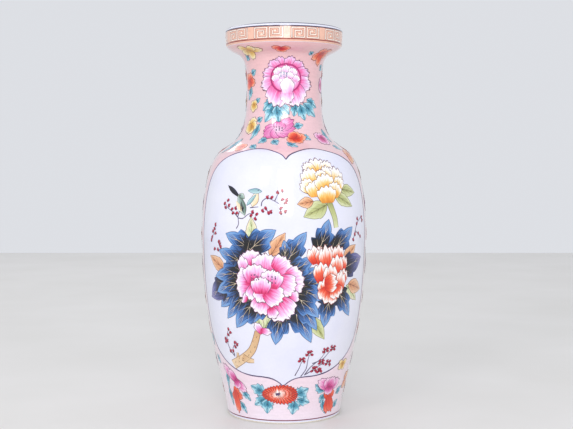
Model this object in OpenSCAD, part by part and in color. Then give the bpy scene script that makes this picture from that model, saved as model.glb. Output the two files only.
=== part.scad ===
// A tall baluster floor vase of painted porcelain, in millimetres.
// The body is thrown in five sections that are luted together with slip and fired as one.
// Every section is turned about the Z axis. The vase stands on its foot ring at Z = 0.

/* [Outline] */
// Height from the foot ring to the crest of the lip
vase_h = 610; // [604:1:616]
// Radius of the foot where the vase stands
foot_r = 90.3; // [87:0.1:93]
// Outward lean of the wall at the foot, in degrees from upright
foot_lean = 4.6; // [3:0.1:7]
// Radius of the belly at its widest
belly_r = 130.8; // [127:0.1:135]
// Height of the widest part of the belly
belly_z = 287.5; // [280:0.5:295]
// Radius where the shoulder turns from round to hollow
shoulder_r = 100.5; // [98:0.1:103]
// Height of that turn
shoulder_z = 417.5; // [413:0.5:422]
// Inward slope of the wall at that turn, in degrees from upright
shoulder_slope = 55; // [50:1:60]
// Radius of the neck at its waist
neck_r = 59.3; // [57:0.1:62]
// Height of the neck's waist
neck_z = 520.5; // [515:0.5:525]

/* [Mouth] */
// Outer radius of the upright band round the mouth
mouth_r = 92.6; // [91.6:0.1:95]
// Height of the band and its lip together
mouth_h = 29; // [27:0.5:31]
// How much narrower the band is at its lower edge
band_draft = 2.3; // [1.5:0.1:3]
// Radius of the round opening inside the band
opening_r = 82; // [80:0.1:84]
// Outward slope of the flare where it meets the band, in degrees from upright
flare_slope = 44; // [38:1:50]

/* [Wall] */
// Thickness of the wall, glaze included
wall_t = 6.5; // [5:0.1:8]
// Height of the floor inside the vase
floor_z = 17; // [15:0.5:20]
// Radius of the inside corner between the floor and the wall
floor_corner_r = 30; // [24:1:36]
// Depth of the hollow under the foot
foot_hollow = 7; // [5:0.5:9]
// Width of the foot ring that the vase stands on
foot_ring_w = 9; // [7:0.5:11]
// Width of the worn chamfer at the foot's outer edge
foot_chamfer = 1.2; // [0.5:0.1:2]

/* [Luting] */
// Height of the joint above the foot section
foot_joint_z = 62; // [58:1:66]
// Height of the joint at the belly
belly_joint_z = 287; // [282:1:292]
// Height of the joint at the shoulder
shoulder_joint_z = 417; // [412:1:422]
// Height of the joint under the mouth
mouth_joint_z = 570; // [566:1:573]
// Thickness of the slip in each joint
slip_t = 1.2; // [0.8:0.1:2]

/* [Glaze and enamel] */
// Thickness of the glaze
glaze_t = 0.4; // [0.3:0.05:0.6]
// Height of the bare foot below the glaze
bare_foot = 2.4; // [2:0.1:3.5]
// Thickness of the painted enamel on the glaze
enamel_t = 0.15; // [0.1:0.01:0.2]
// Height of the maroon line above the foot
foot_line_z = 5.6; // [5:0.1:8]
// Width of a painted line
line_w = 1.6; // [1.2:0.1:2]
// How far below the crest the lip line starts
lip_line_low = 1.6; // [1.4:0.1:2]
// How far below the crest the lip line ends
lip_line_top = 0.5; // [0.4:0.1:0.7]

/* [Hidden] */
$fn = 180;

clay_colour = [0.90, 0.87, 0.82];
slip_colour = [0.82, 0.78, 0.71];
glaze_colour = [0.95, 0.94, 0.97];
blush_colour = [0.93, 0.74, 0.70];
fret_colour = [0.93, 0.78, 0.66];
night_blue = [0.16, 0.10, 0.30];
iron_red = [0.62, 0.16, 0.12];

// Handle lengths of the curves that make the outline. Longer is fuller.
foot_pull = 58.5;
belly_pull_below = 156.5;
belly_pull_above = 23.5;
shoulder_pull_above = 38.5;
shoulder_pull_below = 33.5;
neck_pull_below = 75;
neck_pull_above = 61;
flare_pull = 23.5;
// Steps along each of the four curves
curve_steps = [44, 24, 26, 24];
corner_steps = 12;

lip_r = (mouth_r - opening_r) / 2;
lip_z = vase_h - lip_r;
band_z = vase_h - mouth_h;
base_z = foot_hollow;
// The joints from the foot up
joint_z = [foot_joint_z, belly_joint_z, shoulder_joint_z, mouth_joint_z];
// Inner radius of the foot ring where it stands, and how much it narrows up to the base
ring_in_r = foot_r - foot_ring_w;
ring_taper = 1.5;
// Two points of an outline nearer in height than this count as one
same_height = 0.01;
band_foot = [mouth_r - band_draft, band_z];

// ---- Curves: every point is [radius, height] ----

function heading(lean) = [sin(lean), cos(lean)];

function bezier(a, b, c, d, steps) = [
    for (i = [0 : steps]) let (t = i / steps, u = 1 - t)
        u * u * u * a + 3 * u * u * t * b + 3 * u * t * t * c + t * t * t * d
];

function arc(centre, r, from, to, steps) = [
    for (i = [0 : steps]) let (a = from + (to - from) * i / steps)
        centre + r * [cos(a), sin(a)]
];

function without_last(path) = [for (i = [0 : len(path) - 2]) path[i]];

function reversed(path) = [for (i = [len(path) - 1 : -1 : 0]) path[i]];

// The direction across the path at one of its points, to the right of travel
function across(path, i) =
    let (
        along = path[min(i + 1, len(path) - 1)] - path[max(i - 1, 0)],
        length = norm(along)
    ) [along[1], -along[0]] / length;

// The path moved sideways by d, to the right of travel
function beside(path, d) = [for (i = [0 : len(path) - 1]) path[i] + d * across(path, i)];

function radius_at(path, z) = lookup(z, [for (p = path) [p[1], p[0]]]);

// The stretch of a rising path between two heights
function stretch(path, low, high) = concat(
    [[radius_at(path, low), low]],
    [for (p = path) if (p[1] > low + same_height && p[1] < high - same_height) p],
    [[radius_at(path, high), high]]
);

// ---- The outside ----

foot_point = [foot_r, 0];
belly_point = [belly_r, belly_z];
shoulder_point = [shoulder_r, shoulder_z];
neck_point = [neck_r, neck_z];

belly_curve = bezier(
    foot_point,
    foot_point + foot_pull * heading(foot_lean),
    belly_point - belly_pull_below * heading(0),
    belly_point,
    curve_steps[0]
);
shoulder_curve = bezier(
    belly_point,
    belly_point + belly_pull_above * heading(0),
    shoulder_point - shoulder_pull_below * heading(-shoulder_slope),
    shoulder_point,
    curve_steps[1]
);
neck_curve = bezier(
    shoulder_point,
    shoulder_point + shoulder_pull_above * heading(-shoulder_slope),
    neck_point - neck_pull_below * heading(0),
    neck_point,
    curve_steps[2]
);
flare_curve = bezier(
    neck_point,
    neck_point + neck_pull_above * heading(0),
    band_foot - flare_pull * heading(flare_slope),
    band_foot,
    curve_steps[3]
);
wall_curve = concat(
    without_last(belly_curve),
    without_last(shoulder_curve),
    without_last(neck_curve),
    flare_curve
);

// The flare turns into the upright band along a short slope, this high and this far in
band_slope_h = 4;
band_slope_in = 0.8;
band_start_z = band_z + band_slope_h;
band_start_r = mouth_r - band_slope_in;
outside = concat(
    [[foot_r - foot_chamfer, 0], [radius_at(wall_curve, foot_chamfer), foot_chamfer]],
    [for (p = wall_curve) if (p[1] > foot_chamfer + same_height) p],
    [[band_start_r, band_start_z]],
    arc([mouth_r - lip_r, lip_z], lip_r, 0, 90, corner_steps)
);

// ---- The inside ----

inner_wall = beside(wall_curve, -wall_t);
flare_inside = [for (p = inner_wall) if (p[1] > neck_z) p];
opening_z = lookup(opening_r, flare_inside);
corner_top_z = floor_z + floor_corner_r;
// Room kept between the points of the wall and the corners they run into
corner_gap = 1;
opening_gap = 0.5;
corner_wall_r = radius_at(inner_wall, corner_top_z);
corner = arc([corner_wall_r - floor_corner_r, corner_top_z], floor_corner_r, -90, 0, corner_steps);
inside = concat(
    [[0, floor_z]],
    without_last(corner),
    [[corner_wall_r, corner_top_z]],
    [for (p = inner_wall) if (p[1] > corner_top_z + corner_gap && p[1] < opening_z - opening_gap) p],
    [[opening_r, opening_z]],
    reversed(arc([mouth_r - lip_r, lip_z], lip_r, 90, 180, corner_steps))
);
rising_inside = [for (i = [1 : len(inside) - 1]) inside[i]];

// The clay's own faces, one glaze thickness under the finished ones
clay_outside = beside(outside, -glaze_t);
clay_inside = beside(inside, glaze_t);
clay_rising_inside = [for (i = [2 : len(clay_inside) - 1]) clay_inside[i]];
crest = [mouth_r - lip_r, vase_h];
clay_crest = crest - [0, glaze_t];

// ---- Solids of revolution ----

module turned(outline) {
    rotate_extrude() polygon(outline);
}

// A plain tube of the wall between two heights
module wall_ring(low, high) {
    turned(concat(
        stretch(clay_outside, low, high),
        reversed(stretch(clay_rising_inside, low, high))
    ));
}

module section_between(lower_joint, upper_joint) {
    wall_ring(joint_z[lower_joint] + slip_t / 2, joint_z[upper_joint] - slip_t / 2);
}

module slip_joint(n) {
    color(slip_colour) wall_ring(joint_z[n] - slip_t / 2, joint_z[n] + slip_t / 2);
}

// A painted line or band that wraps the outside between two heights
module painted_band(low, high) {
    turned(concat(
        stretch(beside(outside, enamel_t), low, high),
        reversed(stretch(outside, low, high))
    ));
}

// ---- The thrown sections ----

// The base: foot ring, hollow, floor and the start of the wall
module foot_section() {
    top = joint_z[0] - slip_t / 2;
    bare = [for (p = outside) if (p[1] < bare_foot - same_height) p];
    color(clay_colour) turned(concat(
        [[0, base_z + glaze_t], [ring_in_r - ring_taper, base_z + glaze_t]],
        [[ring_in_r, bare_foot], [ring_in_r, 0]],
        bare,
        [[radius_at(outside, bare_foot), bare_foot]],
        stretch(clay_outside, bare_foot, top),
        reversed([for (p = clay_inside) if (p[1] < top - same_height && p[0] > 0) p]),
        [[0, floor_z - glaze_t]]
    ));
}

module lower_body_section() {
    color(clay_colour) section_between(0, 1);
}

module upper_body_section() {
    color(clay_colour) section_between(1, 2);
}

module neck_section() {
    color(clay_colour) section_between(2, 3);
}

// The flared mouth with its upright band and round lip
module mouth_section() {
    low = joint_z[3] + slip_t / 2;
    outer = [for (p = without_last(clay_outside)) if (p[1] > low + same_height) p];
    inner = [for (p = without_last(clay_rising_inside)) if (p[1] > low + same_height) p];
    color(clay_colour) turned(concat(
        [[radius_at(clay_outside, low), low]],
        outer,
        [clay_crest],
        reversed(inner),
        [[radius_at(clay_rising_inside, low), low]]
    ));
}

module foot_slip_joint() { slip_joint(0); }

module belly_slip_joint() { slip_joint(1); }

module shoulder_slip_joint() { slip_joint(2); }

module mouth_slip_joint() { slip_joint(3); }

// ---- The glaze ----

module outer_glaze() {
    skin = [for (p = without_last(outside)) if (p[1] > bare_foot + same_height) p];
    under = [for (p = without_last(clay_outside)) if (p[1] > bare_foot + same_height) p];
    color(blush_colour) turned(concat(
        [[radius_at(outside, bare_foot), bare_foot]],
        skin,
        [crest, clay_crest],
        reversed(under),
        [[radius_at(clay_outside, bare_foot), bare_foot]]
    ));
}

module inner_glaze() {
    skin = [for (p = without_last(inside)) if (p[0] > 0) p];
    under = [for (p = without_last(clay_inside)) if (p[0] > 0) p];
    color(glaze_colour) turned(concat(
        [[0, floor_z - glaze_t]],
        under,
        [clay_crest, crest],
        reversed(skin),
        [[0, floor_z]]
    ));
}

module foot_hollow_glaze() {
    color(glaze_colour) turned([
        [0, base_z],
        [ring_in_r - ring_taper - glaze_t, base_z],
        [ring_in_r - glaze_t, bare_foot],
        [ring_in_r, bare_foot],
        [ring_in_r - ring_taper, base_z + glaze_t],
        [0, base_z + glaze_t]
    ]);
}

// ---- The painted bands ----

module fret_band_enamel() {
    color(fret_colour) painted_band(band_start_z + line_w / 2, lip_z - line_w / 2);
}

module band_edge_line() {
    color(iron_red) painted_band(band_start_z - line_w / 2, band_start_z + line_w / 2);
}

module rim_line() {
    color(night_blue) painted_band(lip_z - line_w / 2, lip_z + line_w / 2);
}

// On the outer shoulder of the lip, where the round turns up to the crest
module lip_line() {
    color(night_blue) painted_band(vase_h - lip_line_low, vase_h - lip_line_top);
}

module foot_line() {
    color(iron_red) painted_band(foot_line_z - line_w / 2, foot_line_z + line_w / 2);
}

foot_section();
lower_body_section();
upper_body_section();
neck_section();
mouth_section();
foot_slip_joint();
belly_slip_joint();
shoulder_slip_joint();
mouth_slip_joint();
outer_glaze();
inner_glaze();
foot_hollow_glaze();
fret_band_enamel();
band_edge_line();
rim_line();
lip_line();
foot_line();
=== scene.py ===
# %% [markdown]
# # A painted porcelain floor vase
# The clay body comes in finished: five thrown sections with slip between them. This lesson puts on
# what the kiln gives it, the glaze, and what the painter gives it, the enamels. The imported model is
# the frame that everything is measured from, so it is loaded first and its box is kept.

# %% The clay body
import math
import bpy
import numpy as np
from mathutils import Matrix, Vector
from mathutils.geometry import delaunay_2d_cdt


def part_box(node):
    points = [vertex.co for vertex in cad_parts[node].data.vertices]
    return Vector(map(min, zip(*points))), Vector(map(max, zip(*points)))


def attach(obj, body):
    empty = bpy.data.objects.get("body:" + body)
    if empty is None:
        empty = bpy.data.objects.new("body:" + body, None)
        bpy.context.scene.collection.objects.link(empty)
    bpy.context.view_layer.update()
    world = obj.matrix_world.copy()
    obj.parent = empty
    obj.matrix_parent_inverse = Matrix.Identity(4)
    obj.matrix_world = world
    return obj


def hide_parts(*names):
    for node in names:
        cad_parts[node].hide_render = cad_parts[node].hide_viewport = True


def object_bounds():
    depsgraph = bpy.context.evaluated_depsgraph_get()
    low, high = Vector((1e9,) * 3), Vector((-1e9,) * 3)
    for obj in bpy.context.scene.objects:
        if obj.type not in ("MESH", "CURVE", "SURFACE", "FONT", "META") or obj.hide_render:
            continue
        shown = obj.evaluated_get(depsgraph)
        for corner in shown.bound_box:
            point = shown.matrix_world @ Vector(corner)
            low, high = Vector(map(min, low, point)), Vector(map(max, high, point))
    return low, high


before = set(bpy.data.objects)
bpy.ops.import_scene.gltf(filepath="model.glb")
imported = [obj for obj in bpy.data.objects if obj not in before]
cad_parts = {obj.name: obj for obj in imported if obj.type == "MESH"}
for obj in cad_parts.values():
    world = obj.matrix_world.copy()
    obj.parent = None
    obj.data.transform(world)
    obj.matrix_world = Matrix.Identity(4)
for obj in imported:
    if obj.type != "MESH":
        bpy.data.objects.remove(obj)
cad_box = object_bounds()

MM = 0.001
BODY = "root"
rng = np.random.default_rng(7)
print("clay sections:", sorted(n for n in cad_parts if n.endswith("_section")))

# %% [markdown]
# ## The line of the wall
# A potter checks a wall against a rib cut to the outline. The same outline serves here: it is read
# from the rings of the glaze that came with the clay, smoothed, and measured by the way up the wall
# in metres, which is how far a brush travels from the foot. Every painted thing is then placed by
# an angle round the vase and a way up the wall. A chain of straight pieces would show in the shine,
# so the outline gets a point every half millimetre on a curve that never overshoots its rings.

# %% Reading and smoothing the outline
RING_GAP = 0.3 * MM
LINE_STEP = 0.5 * MM


def rings_of(node, side, floor=False):
    """Radius and height of a turned node's rings whose faces look out (side 1) or in (side -1)."""
    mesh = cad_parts[node].data
    points = np.array([v.co for v in mesh.vertices])
    corners = points[np.array([p.vertices[:] for p in mesh.polygons])]
    normals = np.cross(corners[:, 1] - corners[:, 0], corners[:, 2] - corners[:, 0])
    normals /= np.linalg.norm(normals, axis=1)[:, None] + 1e-30
    middles = corners.mean(1)
    outward = (normals[:, :2] * middles[:, :2]).sum(1) / np.hypot(middles[:, 0], middles[:, 1])
    keep = side * outward > 0.05
    if floor:
        keep |= normals[:, 2] > 0.9
    shown = corners[keep].reshape(-1, 3)
    rings = np.c_[shown[:, 2], np.hypot(shown[:, 0], shown[:, 1])]
    rings = np.unique(np.round(rings, 6), axis=0)[:, ::-1]
    spaced = [rings[0]]
    for ring in rings[1:]:
        if np.hypot(*(ring - spaced[-1])) > RING_GAP:
            spaced.append(ring)
    return np.array(spaced)


def smooth_line(points, step):
    """Points every step along a curve through the given ones, with no overshoot between them."""
    points = np.asarray(points, float)
    gaps = np.hypot(*np.diff(points, axis=0).T)
    way = np.r_[0, np.cumsum(gaps)]
    rates = np.diff(points, axis=0) / gaps[:, None]
    before, after = rates[:-1], rates[1:]
    same = before * after > 0
    inner = np.where(same, 2 * before * after / np.where(same, before + after, 1), 0)
    slopes = np.vstack([rates[:1], inner, rates[-1:]])
    at = np.linspace(0, way[-1], int(way[-1] / step) + 1)
    k = np.clip(np.searchsorted(way, at, side="right") - 1, 0, len(gaps) - 1)
    gap = gaps[k][:, None]
    t = ((at - way[k]) / gaps[k])[:, None]
    return ((1 + 2 * t) * (1 - t) ** 2 * points[k] + t * (1 - t) ** 2 * gap * slopes[k]
            + t * t * (3 - 2 * t) * points[k + 1] + t * t * (t - 1) * gap * slopes[k + 1])


outer_line = smooth_line(rings_of("outer_glaze", 1), LINE_STEP)
inner_rings = rings_of("inner_glaze", -1, floor=True)
inner_line = smooth_line(np.vstack([[0, inner_rings[0, 1]], inner_rings]), LINE_STEP)
wall_way = np.r_[0, np.cumsum(np.hypot(*np.diff(outer_line, axis=0).T))]
TOP_WAY = wall_way[-1]


def radius(way):
    """Radius of the wall at a way up it, in metres."""
    return np.interp(way, wall_way, outer_line[:, 0])


def way_at(height):
    """Way up the wall at a height above the table, in metres."""
    return float(np.interp(height, outer_line[:, 1], wall_way))


print(f"the wall is {TOP_WAY:.3f} m from foot to lip and {radius(wall_way).max():.4f} m at its widest")

# %% [markdown]
# ## Node trees with short words
# Geometry Nodes trees are built by hand below. Three small helpers keep them readable: one adds a
# node and joins what it is given, one does sums, and one starts a tree with named inputs.

# %% Helpers for node trees
def add(tree, kind, inputs=None, **settings):
    """A new node, with its settings set and its inputs joined to sockets or given values."""
    node = tree.nodes.new(kind)
    for name, value in settings.items():
        setattr(node, name, value)
    for name, value in (inputs or {}).items():
        if isinstance(value, bpy.types.NodeSocket):
            tree.links.new(value, node.inputs[name])
        else:
            node.inputs[name].default_value = value
    return node


def calc(tree, operation, a, b=0.0):
    """The result of one sum on two sockets or numbers."""
    return add(tree, "ShaderNodeMath", {0: a, 1: b}, operation=operation).outputs[0]


def parts_of(tree, vector):
    """The three parts of a vector socket."""
    return add(tree, "ShaderNodeSeparateXYZ", {0: vector}).outputs


def vector_of(tree, x, y, z):
    """A vector socket from three parts."""
    return add(tree, "ShaderNodeCombineXYZ", {0: x, 1: y, 2: z}).outputs[0]


def new_tree(name, **inputs):
    """A Geometry Nodes tree with a mesh in, a mesh out and named inputs: name=(kind, value)."""
    tree = bpy.data.node_groups.new(name, "GeometryNodeTree")
    face = tree.interface
    face.new_socket("Geometry", in_out="INPUT", socket_type="NodeSocketGeometry")
    face.new_socket("Geometry", in_out="OUTPUT", socket_type="NodeSocketGeometry")
    for label, (kind, value) in inputs.items():
        socket = face.new_socket(label, in_out="INPUT", socket_type="NodeSocket" + kind)
        if value is not None:
            socket.default_value = value
    enter = tree.nodes.new("NodeGroupInput")
    leave = tree.nodes.new("NodeGroupOutput")
    return tree, enter.outputs, leave.inputs


def group(tree, inner, inputs):
    """A node that runs another tree inside this one."""
    node = tree.nodes.new("GeometryNodeGroup")
    node.node_tree = inner
    for name, value in inputs.items():
        if isinstance(value, bpy.types.NodeSocket):
            tree.links.new(value, node.inputs[name])
        else:
            node.inputs[name].default_value = value
    return node.outputs[0]


# %% [markdown]
# ## From a flat sheet to the round wall
# Enamel is a thin raised skin fused to the glaze. Every painted shape is first drawn flat, as on
# paper: x is the angle round the vase, y the way up the wall and z how far the paint stands up. One
# tree gives the drawing its body, down to just under the glaze, and a second bends it round the
# wall by sampling the outline. A shrinkwrap could do the bending, but it would smear the outlines
# where the neck is narrow, and this keeps each brush stroke where it was put.

# %% The trees that lay paint on the wall
def body_tree():
    """Gives a flat drawing a closed body that goes down to Base."""
    tree, given, result = new_tree("paint_body", Base=("Float", 0.0))
    place = parts_of(tree, add(tree, "GeometryNodeInputPosition").outputs[0])
    kept = add(tree, "GeometryNodeCaptureAttribute", {"Geometry": given["Geometry"]})
    kept.capture_items.new("FLOAT", "Lift")
    tree.links.new(place[2], kept.inputs["Lift"])
    low = add(tree, "GeometryNodeSetPosition", {
        "Geometry": kept.outputs["Geometry"],
        "Position": vector_of(tree, place[0], place[1], given["Base"])}).outputs[0]
    raised = add(tree, "GeometryNodeExtrudeMesh", {"Mesh": low, "Offset Scale": 0.0, "Individual": False})
    top = add(tree, "GeometryNodeSetPosition", {
        "Geometry": raised.outputs["Mesh"], "Selection": raised.outputs["Top"],
        "Position": vector_of(tree, place[0], place[1], kept.outputs["Lift"])}).outputs[0]
    under = add(tree, "GeometryNodeFlipFaces", {"Mesh": low}).outputs[0]
    both = tree.nodes.new("GeometryNodeJoinGeometry")
    tree.links.new(top, both.inputs[0])
    tree.links.new(under, both.inputs[0])
    whole = add(tree, "GeometryNodeMergeByDistance", {"Geometry": both.outputs[0], "Distance": 1e-7})
    off_seam = calc(tree, "SUBTRACT", calc(tree, "ABSOLUTE", place[0]), math.pi)
    edge = calc(tree, "LESS_THAN", calc(tree, "ABSOLUTE", off_seam), 1e-4)
    opened = add(tree, "GeometryNodeDeleteGeometry",
                 {"Geometry": whole.outputs[0], "Selection": edge}, domain="FACE")
    tree.links.new(opened.outputs[0], result["Geometry"])
    return tree


def wall_tree():
    """Bends a flat drawing round the wall. Side is 1 for the outside and -1 for the inside."""
    tree, given, result = new_tree("bend_round_wall", Wall=("Object", None), Side=("Float", 1.0),
                                   Turn=("Float", 0.0))
    outline = add(tree, "GeometryNodeObjectInfo", {"Object": given["Wall"]}).outputs["Geometry"]
    flat = parts_of(tree, add(tree, "GeometryNodeInputPosition").outputs[0])
    sample = add(tree, "GeometryNodeSampleCurve", {"Curves": outline, "Length": flat[1]}, mode="LENGTH")
    place = parts_of(tree, sample.outputs["Position"])
    along = parts_of(tree, sample.outputs["Tangent"])
    lift = calc(tree, "MULTIPLY", flat[2], given["Side"])
    reach = calc(tree, "ADD", place[0], calc(tree, "MULTIPLY", along[2], lift))
    height = calc(tree, "SUBTRACT", place[2], calc(tree, "MULTIPLY", along[0], lift))
    angle = calc(tree, "ADD", calc(tree, "MULTIPLY", flat[0], given["Side"]), given["Turn"])
    x = calc(tree, "MULTIPLY", reach, calc(tree, "SINE", angle))
    y = calc(tree, "MULTIPLY", calc(tree, "MULTIPLY", reach, calc(tree, "COSINE", angle)), -1.0)
    bent = add(tree, "GeometryNodeSetPosition",
               {"Geometry": given["Geometry"], "Position": vector_of(tree, x, y, height)})
    joined = add(tree, "GeometryNodeMergeByDistance", {"Geometry": bent.outputs[0], "Distance": 2e-6})
    tree.links.new(joined.outputs[0], result["Geometry"])
    return tree


PAINT_BODY = body_tree()
BEND = wall_tree()


def finish_tree(tree, mesh, given, result):
    """Ends a tree: body, bend, smooth shading, real geometry and the material."""
    solid = group(tree, PAINT_BODY, {"Geometry": mesh, "Base": given["Base"]})
    real = add(tree, "GeometryNodeRealizeInstances", {"Geometry": solid}).outputs[0]
    bent = group(tree, BEND, {"Geometry": real, "Wall": given["Wall"], "Side": given["Side"],
                              "Turn": given["Turn"]})
    smooth = add(tree, "GeometryNodeSetShadeSmooth", {"Geometry": bent}).outputs[0]
    painted = add(tree, "GeometryNodeSetMaterial", {"Geometry": smooth, "Material": given["Material"]})
    tree.links.new(painted.outputs[0], result["Geometry"])
    return tree


COMMON = dict(Wall=("Object", None), Side=("Float", 1.0), Turn=("Float", 0.0), Base=("Float", 0.0),
              Material=("Material", None))


def drawing_tree():
    """Lays the object's own flat drawing on the wall."""
    tree, given, result = new_tree("lay_drawing", **COMMON)
    return finish_tree(tree, given["Geometry"], given, result)


def turned_tree():
    """A ring of glaze or paint right round the wall, from one way up it to another."""
    tree, given, result = new_tree("turned_ring", Start=("Float", 0.0), End=("Float", 0.1),
                                   Lift=("Float", 0.0), Columns=("Int", 256), Rows=("Int", 8), **COMMON)
    sheet = add(tree, "GeometryNodeMeshGrid", {
        "Size X": 2 * math.pi, "Size Y": calc(tree, "SUBTRACT", given["End"], given["Start"]),
        "Vertices X": given["Columns"], "Vertices Y": given["Rows"]}).outputs[0]
    middle = calc(tree, "MULTIPLY", calc(tree, "ADD", given["Start"], given["End"]), 0.5)
    placed = add(tree, "GeometryNodeTransform", {
        "Geometry": sheet, "Translation": vector_of(tree, 0.0, middle, given["Lift"])}).outputs[0]
    return finish_tree(tree, placed, given, result)


LAY_DRAWING = drawing_tree()
TURNED_RING = turned_tree()
print("trees:", [tree.name for tree in bpy.data.node_groups])


# %% Outlines as curves, and a way to run a tree
def outline_curve(name, line):
    """A guide curve with its radius on x and its height on z."""
    data = bpy.data.curves.new(name, "CURVE")
    data.dimensions = "3D"
    spline = data.splines.new("POLY")
    spline.points.add(len(line) - 1)
    spline.points.foreach_set("co", np.c_[line[:, 0], 0 * line[:, 0], line[:, 1],
                                          np.ones(len(line))].ravel())
    guide = bpy.data.objects.new(name, data)
    bpy.context.scene.collection.objects.link(guide)
    return guide


OUTSIDE = outline_curve("outside_line", outer_line)
INSIDE = outline_curve("inside_line", inner_line)
SHARP_EDGE = math.radians(40)


def run_tree(name, mesh, tree, slot, replaces=(), **values):
    """Runs a tree on a mesh and keeps the plain result as a piece that rides on the vase."""
    drawing = bpy.data.objects.new(name + "_drawing", mesh)
    bpy.context.scene.collection.objects.link(drawing)
    modifier = drawing.modifiers.new("tree", "NODES")
    modifier.node_group = tree
    for item in tree.interface.items_tree:
        if item.in_out == "INPUT" and item.name in values:
            modifier[item.identifier] = values[item.name]
    bpy.context.view_layer.update()
    evaluated = drawing.evaluated_get(bpy.context.evaluated_depsgraph_get())
    made = bpy.data.meshes.new_from_object(evaluated)
    made.name = name
    made.set_sharp_from_angle(angle=SHARP_EDGE)
    bpy.data.objects.remove(drawing)
    bpy.data.meshes.remove(mesh)
    piece = bpy.data.objects.new(name, made)
    bpy.context.scene.collection.objects.link(piece)
    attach(piece, BODY)
    if replaces:
        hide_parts(*replaces)
    print(f"{name}: {len(made.polygons)} faces")
    return piece


def turned(name, material, slot, start, end, rows, lift, base, wall=OUTSIDE, side=1.0, columns=257,
           replaces=()):
    """A turned ring on the wall, from start to end metres up it."""
    return run_tree(name, bpy.data.meshes.new(name + "_start"), TURNED_RING, slot, replaces,
                    Start=start, End=end, Rows=rows, Columns=columns, Lift=lift, Base=base,
                    Wall=wall, Side=side, Material=material)


# %% [markdown]
# ## Glaze and enamel as materials
# Fired glaze is a glassy coat over a slightly uneven white body. Overglaze enamels are softer
# glass coloured with metal oxides: thick where the brush rested and thin, almost white, where it
# lifted. So one recipe serves them all: a run of colours along the stroke, broken up by the streaks
# of the brush, with a gloss that wavers a little. The flat drawings carry an attribute, brush, that
# says how far along the stroke, how far across it and which stroke a point is on.

# %% Colours and the enamel recipe
def colour(red, green, blue):
    """A colour from its 0 to 255 values, as the shader wants it."""
    parts = [c / 255 for c in (red, green, blue)]
    return tuple(c / 12.92 if c < 0.04045 else ((c + 0.055) / 1.055) ** 2.4 for c in parts) + (1.0,)


def shader(name, roughness, coat=0.0, coat_roughness=0.05):
    """A new material with its shader's plain settings, and its tree."""
    material = bpy.data.materials.new(name)
    material.use_nodes = True
    tree = material.node_tree
    surface = tree.nodes["Principled BSDF"]
    surface.inputs["Roughness"].default_value = roughness
    surface.inputs["Coat Weight"].default_value = coat
    surface.inputs["Coat Roughness"].default_value = coat_roughness
    return material, tree, surface


def noise(tree, vector, scale, detail=3.0):
    """Noise between 0 and 1 at a scale per metre, or per unit of the vector given."""
    return add(tree, "ShaderNodeTexNoise",
               {"Vector": vector, "Scale": scale, "Detail": detail, "Roughness": 0.5}).outputs["Fac"]


NOISE_LOW, NOISE_HIGH = 0.3, 0.7


def spread(tree, value, low, high):
    """Noise spread out between two values."""
    return add(tree, "ShaderNodeMapRange", {"Value": value, "From Min": NOISE_LOW, "From Max": NOISE_HIGH,
                                            "To Min": low, "To Max": high}).outputs[0]


def ramp(tree, value, stops):
    """A run of colours over a value: stops are (place, colour)."""
    node = add(tree, "ShaderNodeValToRGB", {"Fac": value})
    elements = node.color_ramp.elements
    while len(elements) < len(stops):
        elements.new(0.5)
    for element, (place, shade) in zip(elements, stops):
        element.position = place
        element.color = shade
    return node.outputs["Color"]


def uneven(tree, shade, amount, vector, scale):
    """A colour made a little lighter and darker in patches."""
    light = spread(tree, noise(tree, vector, scale), 1 - amount, 1 + amount)
    mixed = add(tree, "ShaderNodeMix", {0: 1.0, 6: shade}, data_type="RGBA", blend_type="MULTIPLY")
    tree.links.new(vector_of(tree, light, light, light), mixed.inputs[7])
    return mixed.outputs[2]


def relief(tree, surface, vector, scale, depth):
    """A slight unevenness of the fired surface."""
    height = noise(tree, vector, scale, 2.0)
    bump = add(tree, "ShaderNodeBump", {"Height": height, "Strength": 0.5, "Distance": depth})
    tree.links.new(bump.outputs[0], surface.inputs["Normal"])


ENAMEL_GLOSS = 0.16


def enamel(name, stops, streak=0.22, mottle=0.06):
    """Painted enamel: colours along the stroke, brush streaks and a wavering gloss."""
    material, tree, surface = shader(name, ENAMEL_GLOSS, coat=0.5)
    brush = parts_of(tree, add(tree, "ShaderNodeAttribute", attribute_name="brush").outputs["Vector"])
    hairs = vector_of(tree, calc(tree, "MULTIPLY", brush[1], 3.5), calc(tree, "MULTIPLY", brush[0], 0.7),
                      calc(tree, "MULTIPLY", brush[2], 17.0))
    wander = spread(tree, noise(tree, hairs, 3.0), -streak, streak)
    shade = ramp(tree, calc(tree, "ADD", brush[0], wander), stops)
    place = add(tree, "ShaderNodeTexCoord").outputs["Object"]
    tree.links.new(uneven(tree, shade, mottle, place, 180.0), surface.inputs["Base Color"])
    gloss = spread(tree, noise(tree, place, 420.0), ENAMEL_GLOSS * 0.7, ENAMEL_GLOSS * 1.5)
    tree.links.new(gloss, surface.inputs["Roughness"])
    relief(tree, surface, place, 900.0, 0.00005)
    return material


def fired_white(name, base, tint):
    """White porcelain under clear glaze, faintly blue where the glaze is thick."""
    material, tree, surface = shader(name, 0.09, coat=1.0, coat_roughness=0.03)
    place = add(tree, "ShaderNodeTexCoord").outputs["Object"]
    shade = ramp(tree, noise(tree, place, 14.0), [(0.35, base), (0.65, tint)])
    tree.links.new(uneven(tree, shade, 0.012, place, 300.0), surface.inputs["Base Color"])
    tree.links.new(spread(tree, noise(tree, place, 60.0), 0.07, 0.12), surface.inputs["Roughness"])
    relief(tree, surface, place, 22.0, 0.0006)
    return material


clear_glaze = fired_white("clear_glaze_on_white", colour(237, 237, 250), colour(229, 230, 248))

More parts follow.
